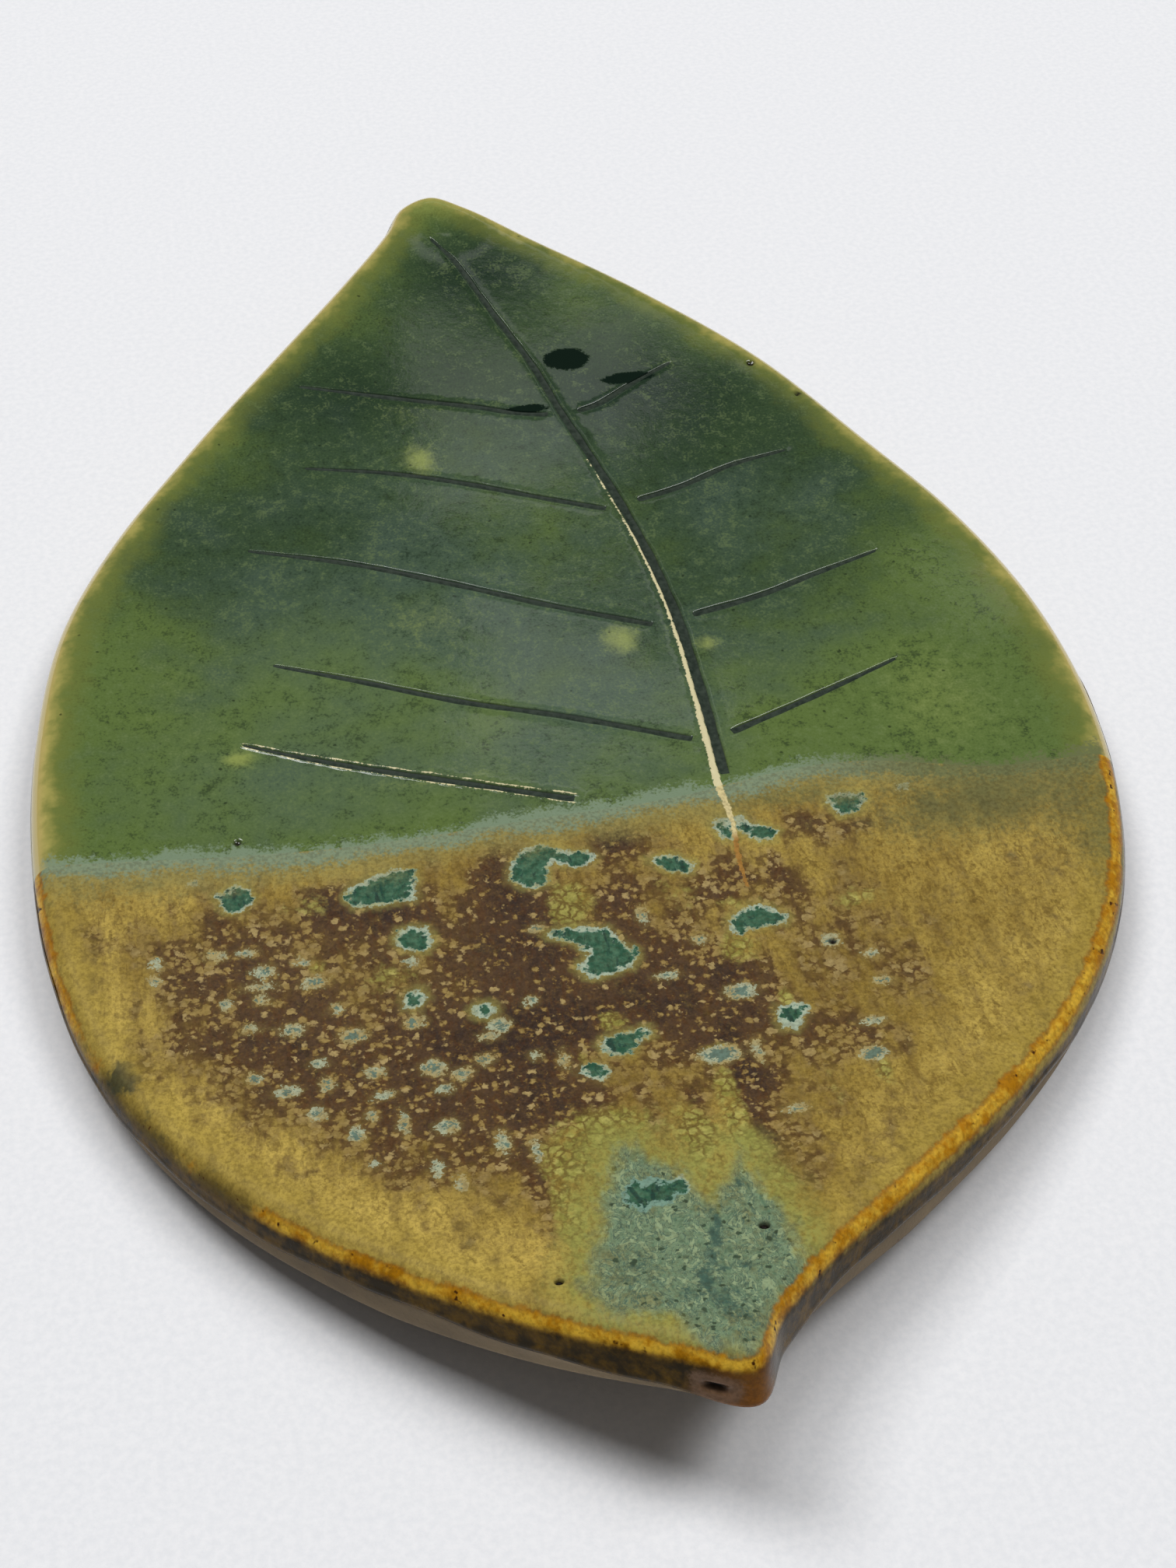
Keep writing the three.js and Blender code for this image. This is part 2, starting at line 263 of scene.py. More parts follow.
veins = [Vein("midrib_glaze", MIDRIB, MIDRIB_HALF, MIDRIB_DEPTH, MIDRIB_GROWTH)]
for side, shares_of_side in (("left", LEFT_VEINS), ("right", RIGHT_VEINS)):
    for number, shares in enumerate(shares_of_side, 1):
        veins.append(Vein(f"{side}_vein_glaze_{number}", shares, VEIN_HALF, VEIN_DEPTH, VEIN_GROWTH))
vein_lines = np.vstack([v.line for v in veins])
vein_half = np.concatenate([v.half for v in veins])
vein_depth = np.concatenate([v.depth for v in veins])
vein_number = np.concatenate([np.full(len(v.line), i) for i, v in enumerate(veins)])


def tree_of(plan):
    tree = KDTree(len(plan))
    for i, (x, y) in enumerate(plan):
        tree.insert((x, y, 0), i)
    tree.balance()
    return tree


def nearest(tree, plan):
    """Index of the nearest point of the tree and the distance to it, for each point."""
    found = [tree.find((x, y, 0)) for x, y in plan]
    return np.array([f[1] for f in found]), np.array([f[2] for f in found])


vein_tree = tree_of(vein_lines)
edge_tree = tree_of(edge)
VEIN_REACH = 4.0


class NearVeins:
    """Where points lie with respect to the nearest vein, in half widths of it."""

    def __init__(self, plan):
        self.index, distance = nearest(vein_tree, plan)
        self.spread = distance / vein_half[self.index]
        self.depth = vein_depth[self.index] * (distance < VEIN_REACH)
        self.number = vein_number[self.index]

    def groove(self, wider=1.0):
        return self.depth * np.exp(-((self.spread / wider / GROOVE_SHOULDER) ** 4))

    def lip(self):
        return self.depth / VEIN_DEPTH * bell(self.spread, LIP_PLACE, LIP_WIDTH)


# Burr of cream glaze along the midrib's left bank and over the seam: place and half width
BURR = [
    (12.7, 46.0, 0.08), (14.8, 34.0, 0.18), (16.5, 22.0, 0.25), (17.3, 10.0, 0.28), (17.2, -4.0, 0.34),
    (16.9, -14.0, 0.46), (16.6, -22.0, 0.5), (16.9, -27.0, 0.34), (16.7, -30.5, 0.3),
    (16.3, -34.0, 0.35), (16.2, -39.0, 0.2),
]
burr_path = np.array(BURR)
burr_line = spline(burr_path[:, :2], BURR_STEPS)
burr_half = np.interp(np.arange(len(burr_line)) / BURR_STEPS, np.arange(len(BURR)), burr_path[:, 2])
burr_tree = tree_of(burr_line)
LAST_LEFT_VEIN_NUMBER = 5
PALE_BANK, PALE_BANK_HALF = 1.35, 0.06
NO_BURR = -1.0


def burr_at(plan, near):
    """How far a point lies inside the cream burr or a pale bank of the last left vein, below 0 outside."""
    index, distance = nearest(burr_tree, plan)
    burr = burr_half[index] - distance
    bank = PALE_BANK_HALF - np.abs(near.spread - PALE_BANK) * vein_half[near.index]
    bank = np.where(near.number == LAST_LEFT_VEIN_NUMBER, bank, NO_BURR)
    return np.clip(np.maximum(burr, bank), NO_BURR, 1)


# The burr's soft foot, the size of its flakes and the layer of the noise that they are cut from
BURR_FOOT, BURR_GRAIN, GRAIN_LAYER = 0.2, 0.9, 3.7


def flakes(plan, size):
    """Patchy noise from 0 to 1, worked out point by point."""
    places = [Vector((x / size, y / size, GRAIN_LAYER)) for x, y in plan]
    return np.array([0.5 + 0.5 * perlin.noise(place) for place in places])


# Pits in the glaze: place, radius and depth
PITS = [
    (5.2, -93.6, 0.55, 0.6), (-16.3, -97.2, 0.45, 0.5), (-43.0, -21.0, 0.5, 0.3), (41.0, 63.8, 0.6, 0.4),
    (46.4, 55.3, 0.5, 0.35), (24.0, -49.5, 0.5, 0.3),
]
PIT_RINGS, PIT_SIDES = (0.0, 0.35, 0.7, 1.0, 1.35, 1.8), 12
# Raised lip of a pit: its height as a share of the depth, and its place and width in radii
PIT_LIP, PIT_LIP_PLACE, PIT_LIP_WIDTH = 0.12, 1.5, 0.4


def pit_depth(plan):
    depth = np.zeros(len(plan))
    for x, y, radius, deep in PITS:
        spread = np.hypot(plan[:, 0] - x, plan[:, 1] - y) / radius
        lip = PIT_LIP * deep * bell(spread, PIT_LIP_PLACE, PIT_LIP_WIDTH)
        depth += deep * np.exp(-(spread**4)) - lip
    return depth


def top_height(plan, near):
    """Height of the glaze over the underside."""
    burr = burr_at(plan, near)
    raised = np.zeros(len(plan))
    shown = burr > -BURR_FOOT
    share = np.clip((burr[shown] + BURR_FOOT) / (2 * BURR_FOOT), 0, 1)
    raised[shown] = share * flakes(plan[shown], BURR_GRAIN)
    return (
        full_thickness(plan) - near.groove() + LIP_HEIGHT * near.lip()
        + BURR_HEIGHT * raised - pit_depth(plan)
    )


# How many times wider than a groove the dip under it is
HIDDEN_GROOVE = 2.2


def hidden_top(plan, near, below):
    """Height of a hidden surface under the glaze, which dips below the grooves."""
    return full_thickness(plan) - below - near.groove(HIDDEN_GROOVE)


# Triangles over the plan

def hex_grid(spacing, low, high, jitter, seed):
    rng = np.random.default_rng(seed)
    rows = np.arange(low[1], high[1], spacing * math.sqrt(3) / 2)
    columns = np.arange(low[0], high[0], spacing)
    x, y = np.meshgrid(columns, rows)
    x = x + (np.arange(len(rows)) % 2)[:, None] * spacing / 2
    grid = np.stack([x.ravel(), y.ravel()], 1)
    return grid + rng.uniform(-jitter, jitter, grid.shape) * spacing


def inside(plan, polygon):
    """Whether each point lies inside the polygon, by the crossings of a level ray."""
    crossed = np.zeros(len(plan), bool)
    x, y = plan.T
    for (ax, ay), (bx, by) in zip(polygon, np.roll(polygon, -1, axis=0)):
        if ay == by:
            continue
        spans = (ay > y) != (by > y)
        crossed ^= spans & (x < ax + (y - ay) * (bx - ax) / (by - ay))
    return crossed


inset_line = edge + edge_inward * RIM_RADIUS
seam_at_inset = seam_distance(inset_line)
crossings = np.flatnonzero((seam_at_inset > 0) != (np.roll(seam_at_inset, -1) > 0))
split_left, split_right = sorted(crossings, key=lambda i: inset_line[i, 0])
seam_inner_x = np.linspace(
    inset_line[split_left, 0], inset_line[split_right, 0],
    int((inset_line[split_right, 0] - inset_line[split_left, 0]) / SEAM_SPACING),
)[1:-1]
seam_inner = np.stack([seam_inner_x, seam_y(seam_inner_x)], 1)
# The seam's ends are stations of the inset line, so the line bends to them over a short way
SEAM_EASE = 5.0
for end in (split_left, split_right):
    miss = inset_line[end, 1] - seam_y(inset_line[end, 0])
    seam_inner[:, 1] += miss * np.exp(-np.abs(seam_inner_x - inset_line[end, 0]) / SEAM_EASE)


# Points nearer to each other than this are one
SAME_PLACE = 1e-7


class Triangles:
    """Triangles inside the inset line, with the seam kept as edges."""

    def __init__(self, inner_points):
        points = np.vstack([inset_line, seam_inner, inner_points])
        ring = [(i, (i + 1) % STATIONS) for i in range(STATIONS)]
        row = [split_left, *range(STATIONS, STATIONS + len(seam_inner)), split_right]
        fixed = ring + list(zip(row, row[1:]))
        made = delaunay_2d_cdt([Vector(p) for p in points], fixed, [], 1, SAME_PLACE, True)
        self.plan = np.array([tuple(p) for p in made[0]])
        faces = np.array(made[2])
        new_index = {old: new for new, olds in enumerate(made[3]) for old in olds}
        self.ring = np.array([new_index[i] for i in range(STATIONS)])
        self.seam = np.array([new_index[i] for i in row])
        # A triangle with all its corners on the ring may lie outside, where the outline is hollow
        doubtful = np.isin(faces, self.ring).all(1)
        kept = ~doubtful
        kept[doubtful] = inside(self.plan[faces[doubtful]].mean(1), inset_line)
        self.faces = faces[kept]
        centres, path = self.plan[self.faces].mean(1), self.plan[self.seam]
        self.on_tip_side = centres[:, 1] > np.interp(centres[:, 0], path[:, 0], path[:, 1])


def vein_points(offsets, step):
    return np.vstack([
        v.line[::step] + v.across[::step] * v.half[::step, None] * offset * sign
        for v in veins for offset in offsets for sign in ((1,) if offset == 0 else (1, -1))
    ])


def pit_points():
    angles = np.linspace(0, 2 * math.pi, PIT_SIDES, endpoint=False)
    around = np.stack([np.cos(angles), np.sin(angles)], 1)
    return np.vstack([np.array([x, y]) + around * radius * r for x, y, radius, _ in PITS for r in PIT_RINGS])


BURR_OFFSETS = (-0.9, -0.6, -0.3, 0, 0.3, 0.6, 0.9)


def burr_points():
    """Points beside the burr past the midrib's end, where no vein brings any."""
    line = burr_line[burr_line[:, 1] < veins[0].line[-1, 1] - 1]
    return np.vstack([line[::2] + (offset, 0) for offset in BURR_OFFSETS])


def clear_of(plan, others, distance):
    return plan[nearest(tree_of(others), plan)[1] > distance]


def within(plan, margin):
    """The points that lie inside the inset line by a margin."""
    plan = plan[inside(plan, inset_line)]
    return clear_of(plan, inset_line, margin)


# Seeds and unevenness of the grids, as a share of the spacing
GREEN_SEED, AMBER_SEED, HIDDEN_SEED = 11, 12, 13
JITTER, HIDDEN_JITTER = 0.2, 0.1
# How far points keep from the inset line, features from the seam and the grid from features
GREEN_MARGIN, AMBER_MARGIN, FEATURE_MARGIN = 0.5, 0.3, 0.2
FEATURE_TO_SEAM, GRID_TO_FEATURE = 0.15, 0.4
HIDDEN_MARGIN, HIDDEN_FEATURE_MARGIN = 2.0, 0.6
HIDDEN_FEATURE_TO_SEAM, HIDDEN_GRID_GAP = 0.4, 1.5
HIDDEN_OFFSETS, HIDDEN_STEP = (0.0, 1.0, 2.0, 3.2), 3


def grid_over_leaf(spacing, jitter, seed):
    return hex_grid(spacing, edge.min(0), edge.max(0), jitter, seed)


def off_seam(plan, distance):
    return plan[np.abs(seam_distance(plan)) > distance]


def fine_points():
    green = grid_over_leaf(GREEN_SPACING, JITTER, GREEN_SEED)
    amber = grid_over_leaf(AMBER_SPACING, JITTER, AMBER_SEED)
    green = within(green[seam_distance(green) > SEAM_SPACING], GREEN_MARGIN)
    amber = within(amber[seam_distance(amber) < -SEAM_SPACING / 2], AMBER_MARGIN)
    features = np.vstack([vein_points(VEIN_OFFSETS, 1), pit_points(), burr_points()])
    features = off_seam(within(features, FEATURE_MARGIN), FEATURE_TO_SEAM)
    return np.vstack([features, clear_of(np.vstack([green, amber]), features, GRID_TO_FEATURE)])


def hidden_points():
    grid = within(grid_over_leaf(HIDDEN_SPACING, HIDDEN_JITTER, HIDDEN_SEED), HIDDEN_MARGIN)
    grid = off_seam(grid, HIDDEN_GRID_GAP)
    features = within(vein_points(HIDDEN_OFFSETS, HIDDEN_STEP), HIDDEN_FEATURE_MARGIN)
    features = off_seam(features, HIDDEN_FEATURE_TO_SEAM)
    return np.vstack([features, clear_of(grid, features, HIDDEN_GRID_GAP)])


fine = Triangles(fine_points())
hidden = Triangles(hidden_points())


# Profiles round the rim: rings of plan points, one for every station, with their heights

# Waves of the glaze's lower end: height, number in a round and phase
GLAZE_WAVES = [(0.5, 7, 1), (0.35, 17, 0), (0.2, 41, 2)]
GLAZE_WAVE_SHARE = 0.6
GLAZE_BELOW_RIM = 0.5
round_angle = np.linspace(0, 2 * math.pi, STATIONS, endpoint=False)
glaze_line_wobble = sum(high * np.sin(waves * round_angle + phase) for high, waves, phase in GLAZE_WAVES)


def station_plan(inset):
    return edge + edge_inward * np.broadcast_to(inset, STATIONS)[:, None]


# At the stem's end the bare clay shows higher, and the underside curls up and steps in
STEM_BARE, STEM_BARE_RUN = 1.3, 50.0
NOSE_LIFT, NOSE_RUN = 2.8, 22.0
NOSE_TUCK = 1.3


def towards_nose(plan, run):
    """Share of the way to the stem's end, over a run from it."""
    return np.clip((run - HALF_LENGTH - plan[:, 1]) / run, 0, 1)


def nose_lift(plan):
    """How far the underside curls up at the stem's end, over the slab's own lift."""
    return NOSE_LIFT * towards_nose(plan, NOSE_RUN) ** 2


def glaze_line():
    """Height of the glaze's lower end at each station."""
    line = BARE_EDGE + STEM_BARE * towards_nose(edge, STEM_BARE_RUN) ** 0.5
    highest = full_thickness(edge) - RIM_RADIUS - GLAZE_BELOW_RIM
    return np.minimum(line, highest) + GLAZE_WAVE_SHARE * glaze_line_wobble


QUARTER = math.pi / 2
CREST = RIM_RADIUS * QUARTER / 2


def rim_rings(radius, inset, below, steps):
    """Quarter round over the rim as rings of points, with how far each lies past the crest."""
    rings = []
    for i in range(steps + 1):
        angle = QUARTER * i / steps
        plan = station_plan(inset + radius * (1 - math.cos(angle)))
        height = full_thickness(plan) - below - radius * (1 - math.sin(angle))
        rings.append((plan, height, np.full(STATIONS, RIM_RADIUS * angle - CREST)))
    return rings


# Rolled lower end of the glaze as insets and rises over its line, and the wall above it
ROLL = [(0.85, 0.05), (0.6, -0.25), (0.25, -0.3), (-0.02, -0.05), (-0.1, 0.35), (-0.06, 0.8)]
WALL_SWELL, LEAST_WALL = 0.05, 0.2
INNER_END_INSET, INNER_END_RISE = 0.05, 0.6

# Slot in the glaze at the stem's end
SLOT_PLACE, SLOT_HEIGHT = (-3.9, -111.1), 6.2
SLOT_HALF_WIDTH, SLOT_HALF_HEIGHT, SLOT_DEPTH = 1.2, 0.42, 0.6
SLOT_HALO_WIDER, SLOT_HALO_HIGHER = 2.2, 3.6


def slot_share(plan, height, wider=1.0, higher=1.0):
    """How far points of the wall lie in the slot, 0 to 1, or in a larger patch round it."""
    along = np.linalg.norm(plan - np.array(SLOT_PLACE), axis=1) / (SLOT_HALF_WIDTH * wider)
    return np.exp(-(along**4) - ((height - SLOT_HEIGHT) / (SLOT_HALF_HEIGHT * higher)) ** 4)


def outer_rings():
    """The glaze's outside from its rolled lower end over the wall and the rim to the inset line."""
    line = glaze_line()
    wall_top = full_thickness(edge) - RIM_RADIUS
    rings = []
    for inset, rise in ROLL:
        height = line + rise
        rings.append((station_plan(inset), height, height - wall_top - CREST))
    start = line + ROLL[-1][1]
    for i in range(1, WALL_STEPS):
        height = start + np.maximum(wall_top - start, LEAST_WALL) * i / WALL_STEPS
        inset = -WALL_SWELL * (1 - i / WALL_STEPS) + SLOT_DEPTH * slot_share(edge, height)
        rings.append((station_plan(inset), height, height - wall_top - CREST))
    return rings + rim_rings(RIM_RADIUS, 0.0, 0.0, RIM_STEPS)


def inner_rings():
    """The glaze's hidden inside from its lower end to the inset line."""
    plan = station_plan(GLAZE_THICKNESS + INNER_END_INSET)
    lower = [(plan, glaze_line() + INNER_END_RISE, np.zeros(STATIONS))]
    return lower + rim_rings(RIM_RADIUS - GLAZE_THICKNESS, GLAZE_THICKNESS, GLAZE_THICKNESS, INNER_RIM_STEPS)


# Pieces

FIELDS = (
    "edge", "seam", "vein", "burr", "pit_shade", "cloud", "glow", "pool", "spot", "flake", "teal", "veil", "smear",
    "painted_light", "halo",
)
# Shares, margins and steps of the flat maps
HIDDEN_MAP, HIDDEN_MAP_FILL = 0.04, 0.9
MAP_MARGIN, CLAY_MAP_MARGIN, CLAY_MAP_STEP = 1, 8, 0.9
SHARP_ANGLE = math.radians(65)


class Builder:
    """Collects the points, faces, fields and map places of one piece."""

    def __init__(self):
        self.points, self.faces, self.places = [], [], []
        self.fields = {name: [] for name in FIELDS}
        self.count = 0

    def add(self, points, places, fields):
        """Adds points and returns their numbers."""
        first = self.count
        self.count += len(points)
        self.points.append(points)
        self.places.append(places)
        for name in FIELDS:
            self.fields[name].append(np.broadcast_to(fields.get(name, 0.0), len(points)))
        return np.arange(first, self.count)

    def strip(self, low, high, closed=False):
        """Quads between two rows of points, facing away from the leaf when the row runs round it."""
        low_next, high_next = np.roll(low, -1), np.roll(high, -1)
        quads = np.stack([low, low_next, high_next, high], 1)
        self.faces.extend(map(tuple, quads if closed else quads[:-1]))

    def rows(self, rows, closed=False):
        for low, high in zip(rows, rows[1:]):
            self.strip(low, high, closed)

    def make(self, name, material):
        mesh = bpy.data.meshes.new(name)
        points = np.vstack(self.points) * MM
        mesh.from_pydata(points.tolist(), [], [tuple(int(i) for i in f) for f in self.faces])
        for field in FIELDS:
            values = np.concatenate(self.fields[field]).astype(np.float32)
            if np.any(values):
                mesh.attributes.new(field, "FLOAT", "POINT").data.foreach_set("value", values)
        self.make_map(mesh)
        mesh.polygons.foreach_set("use_smooth", np.ones(len(mesh.polygons), bool))
        mesh.set_sharp_from_angle(angle=SHARP_ANGLE)
        piece = bpy.data.objects.new(name, mesh)
        bpy.context.scene.collection.objects.link(piece)
        mesh.materials.append(material)
        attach(piece, "root")
        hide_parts(name.removesuffix("_look"))

    def make_map(self, mesh):
        places = np.vstack(self.places)
        corners = np.zeros(len(mesh.loops), int)
        mesh.loops.foreach_get("vertex_index", corners)
        layer = mesh.uv_layers.new(name="OFBake")
        layer.data.foreach_set("uv", places[corners].astype(np.float32).ravel())


class FlatMap:
    """Flat map of the plan with the rim unrolled outwards. Hidden surfaces go small into a corner."""

    def __init__(self, low, high):
        self.low, self.size = low, (high - low).max()

    def shown(self, plan):
        return HIDDEN_MAP + (1 - HIDDEN_MAP) * (plan - self.low) / self.size

    def concealed(self, plan):
        return HIDDEN_MAP_FILL * HIDDEN_MAP * (plan - self.low) / self.size


def unrolled(ring_edge):
    """Places of a ring's points on the unrolled rim."""
    return inset_line - edge_inward * (CREST - ring_edge)[:, None]


# Painted fields over the plan: lists of soft patches as centre, half sizes and strength

CLOUDS = [
    (-30, -50, 22, 16, 0.45), (-4, -50, 22, 20, 0.45), (-42, -36, 12, 5, 0.28), (-50, -41, 7, 8, 0.25),
    (-33, -33, 4, 3, 0.75), (-27, -36, 6, 3, 0.8), (-13, -31, 4, 4, 0.6), (-11, -37, 5, 5, 0.8),
    (-11, -44, 5, 6, 0.6), (2, -29, 3, 3, 0.75), (1, -38, 3, 4, 0.6), (3, -45, 4, 5, 0.5),
    (5, -52, 6, 4, 0.4), (-44, -43, 6, 4, 0.5), (-42, -52, 8, 5, 0.6), (-35, -60, 9, 5, 0.5),
    (-22, -57, 6, 5, 0.6), (-12, -56, 8, 5, 0.8), (-15, -65, 8, 6, 0.7), (-10, -69, 7, 3, 0.6),
    (2, -57, 6, 4, 0.45), (12, -54, 3.5, 6, 0.8), (8, -62, 6, 5, 0.6), (10, -68, 3, 5, 0.7),
    (8.7, -76, 1.5, 9, 0.7), (20, -62, 6, 5, 0.4), (24, -66, 5, 4, 0.4), (16, -73, 6, 5, 0.22),
    (-17.5, -75, 4, 6, 0.3), (-15.8, -82, 1.8, 8, 0.4), (-28, -68, 10, 6, 0.5), (12, -83, 4, 6, 0.3),
    (31, -53, 8, 6, 0.2), (25, -29, 4, 2.5, 0.35), (31, -32, 4, 2.5, 0.35), (19, -38, 5, 4, 0.35),
    (12, -39, 4, 4, 0.35), (3, -71, 1.5, 4, 0.5), (-2.5, -73, 1.5, 3, 0.5), (27, -45, 9, 8, 0.17),
    (33, -57, 8, 6, 0.12), (22, -52, 6, 8, 0.18), (-26, -75, 8, 6, 0.35),
]
YELLOWS = [
    (-5, -38, 3.5, 4.5, 0.9), (13, -48.5, 3, 3, 0.9), (-3.5, -57, 2, 2, 0.8), (16.4, -57, 1, 1.5, 0.8),
    (-7.8, -61.5, 1, 2, 0.7), (7, -64, 3, 1.6, 0.6), (-7, -73, 6, 4, 0.9), (2, -77, 2.5, 6, 0.85),
    (6.5, -73, 1.6, 8, 0.9), (-12, -77, 3, 3, 0.8), (24, -71, 2, 3, 0.6), (8, -39, 4, 4, 0.4),
    (-13.5, -85, 2, 8, 0.8), (-36, -33, 5, 3, 0.5), (-27, -46, 7, 3.5, 0.5), (8.5, -86, 2, 8, 0.7),
    (-35.5, -42.5, 1.2, 1.6, 0.7), (14, -41.5, 3, 1.5, 0.6), (29, -43.5, 5, 2, 0.5),
    (18, -72, 1.2, 5, 0.4), (-1, -84, 1.5, 2.5, 0.8),
]
# Painted light: paler gold near the amber part's rim, where the slab curves up towards the light
PAINTED_LIGHT_PATCHES = [
    (-61, -40, 5, 12, 0.6), (-57, -50, 5, 9, 0.9), (-50, -62, 6, 7, 0.9), (-42, -72, 8, 7, 0.8),
    (-32, -82, 10, 7, 0.8), (-22, -91, 8, 6, 0.8), (42, -58, 8, 8, 0.5), (33, -68, 10, 7, 0.5),
    (50, -50, 6, 8, 0.3), (20, -84, 8, 6, 0.4),
]
GREEN_SHADES = [
    (-12, 68, 24, 18, 0.8), (4, 90, 13, 14, 0.75), (22, 60, 22, 16, 0.8), (-22, 36, 26, 16, 0.5),
    (32, 40, 24, 18, 0.65), (10, 12, 30, 20, 0.4), (-10, -8, 26, 10, 0.12), (-44, 28, 14, 18, 0.35),
    (36, 18, 18, 14, 0.3),
]
GREEN_GLOWS = [
    (-11, 49.7, 2.6, 3.6, 0.75), (10, 7, 2.6, 3.2, 0.8), (21, 4.3, 1.5, 1.8, 0.7),
    (-41.4, -6.6, 2, 1.6, 0.8), (-14, 15, 8, 6, 0.3), (-12, 60, 5, 4, 0.2), (4, 20, 5, 5, 0.15),
    (48, -12, 9, 12, 0.35), (-48, 6, 9, 20, 0.15), (-18, -14.5, 12, 1.6, 0.3), (-1, 106.5, 6, 3, 0.5),
]
POOLS = [(13.7, 68.7, 3.6, 2.6, 1.0), (22.0, 63.0, 4.5, 1.4, 0.9), (5.8, 58.5, 4.0, 1.0, 0.85)]
# Painted reflection: grey-blue veil over the middle of the green, standing in for bright light mirrored in
# the glaze
PAINTED_GREEN_REFLECTIONS = [
    (0, 40, 26, 34, 0.5), (-22, 8, 26, 18, 0.5), (4, -10, 22, 14, 0.55), (36, 30, 14, 16, 0.5),
    (-34, -12, 24, 10, 0.5), (-42, 24, 18, 20, 0.3), (34, 2, 18, 12, 0.35),
]
VEILS = [
    (48, -31, 17, 7, 0.9), (24, -25, 10, 3, 0.6), (-58, -27, 8, 4, 0.4), (61, -40, 6, 10, 0.7),
    (0, -25, 8, 2, 0.3),
]
SMEARS = [(-58, -55, 3, 3.5, 0.95), (-54, -62, 6, 7, 0.7), (-47, -72, 6, 6, 0.7), (-60, -48, 4, 5, 0.5)]
# Dark streaks in the turquoise zone
STREAKS = [
    (0.8, -89.5, 0.5, 1.8, 1.0), (0.0, -92.0, 0.5, 1.8, 1.0), (-1.0, -94.6, 0.55, 1.8, 1.0),
    (-2.4, -97.4, 0.7, 1.9, 1.0), (1.0, -96.6, 2.0, 0.5, 0.7), (-0.5, -101, 3, 3, 0.55),
    (-4.5, -99.5, 1.2, 1.5, 0.5), (4.2, -84.5, 0.4, 0.9, 0.8), (5.5, -93, 1.5, 4, 0.3),
    (-8.5, -95, 2.5, 4, 0.35),
]
# Outlines of the turquoise spots, of the dark leaf in the zone at the stem and of the zone
SPOTS = [
    [(-46.1, -29.2), (-43.4, -27.9), (-42.2, -28.4), (-41.7, -30), (-41.9, -31.4), (-43.4, -32.4),
     (-45, -32.2)],
    [(-31.1, -32.2), (-30, -30.4), (-26.4, -29), (-24.8, -28.6), (-22.2, -29.3), (-22.8, -34.2),
     (-24.8, -34), (-26.8, -34.3), (-30.2, -34)],
    [(-26.2, -40.4), (-25.4, -38.6), (-23.4, -38.2), (-22, -38.8), (-21.6, -40.8), (-22.4, -42.2),
     (-25.2, -42)],
    [(-11.2, -31), (-9.1, -28.3), (-7.1, -27.8), (-3.5, -29.7), (-1.3, -29.9), (-0.4, -30.9),
     (-1.1, -32.2), (-3.5, -32.5), (-5.8, -31.2), (-6.7, -32), (-7.1, -34.2), (-8.8, -34.8),
     (-10.1, -34.4), (-11.4, -33.1)],
    [(5.2, -32.5), (8.4, -32.3), (10.8, -34.2), (10.1, -35.7), (8, -35.3), (6.5, -34)],
    [(-8.6, -42), (-6, -41.7), (-3.7, -41.9), (-1.1, -42.6), (0.2, -45.6), (1.3, -46.3), (1.2, -47.5),
     (0.2, -49), (-3.9, -50), (-5.2, -49.5), (-6, -48), (-4.3, -46), (-5.8, -43.9), (-8.4, -42.8)],
    [(14.1, -28.3), (15.4, -27.2), (16.8, -27.4), (16.3, -31.4), (14.9, -30.8)],
    [(17.2, -27.4), (18.3, -27.5), (19, -29), (20.6, -29.7), (22, -30.8), (21.1, -32.2), (19.5, -32.1),
     (17.2, -29.9)],
    [(29.1, -27.4), (29.4, -26.2), (31.2, -26), (33.7, -26.5), (34, -27.8), (32.4, -29.4), (30.1, -29.9)],
    [(12.5, -45.8), (12.8, -44.2), (14.4, -42.6), (17, -41.9), (20, -44.4), (19.3, -45.5), (15.6, -45.8),
     (13.5, -46.3)],
    [(14.7, -60), (14.9, -58.2), (17.9, -58), (18.7, -59.3), (16.5, -62.5), (14.8, -61.9)],
    [(-26.5, -49.5), (-25.6, -48.2), (-23.9, -47.8), (-23.5, -49.4), (-24.8, -50.7), (-26.3, -50.3)],
    [(-18.9, -52.3), (-17.9, -51.2), (-16.4, -51.4), (-16.1, -52.9), (-17.2, -53.7), (-18.7, -53.1)],
    [(-5.7, -60.4), (-5, -59.3), (0.2, -58.5), (0.4, -59.8), (-1.5, -60.6), (-2.4, -62.2), (-3.9, -62.4),
     (-5.4, -61.9)],
    [(-8.8, -64.3), (-7.8, -63.2), (-6, -63.2), (-5.1, -64.7), (-6.5, -66.2), (-7.8, -65.2)],
]
DARK_LEAF = [
    (-7.3, -84.7), (-7.1, -83.2), (-6.1, -81.9), (-5.4, -83.2), (-4.4, -81.9), (-3.3, -83.2),
    (-1.4, -82.7), (-1.2, -84.5), (-3.1, -84.7), (-3.3, -85.6), (-5.2, -85.7), (-5.8, -86.4),
]
STEM_ZONE = [
    (-6.8, -76), (-8.5, -80), (-10.2, -84), (-11, -88.5), (-13, -92), (-13.8, -97), (-12, -100.5),
    (-6.5, -102), (-4, -107), (0, -109), (4.4, -102), (8.5, -98), (8, -93.5), (7.2, -88), (6, -83.5),
    (5.4, -79.5), (3.8, -82.5), (1.2, -87), (-0.4, -83), (-1.5, -81), (-4.2, -79), (-5, -76),
]
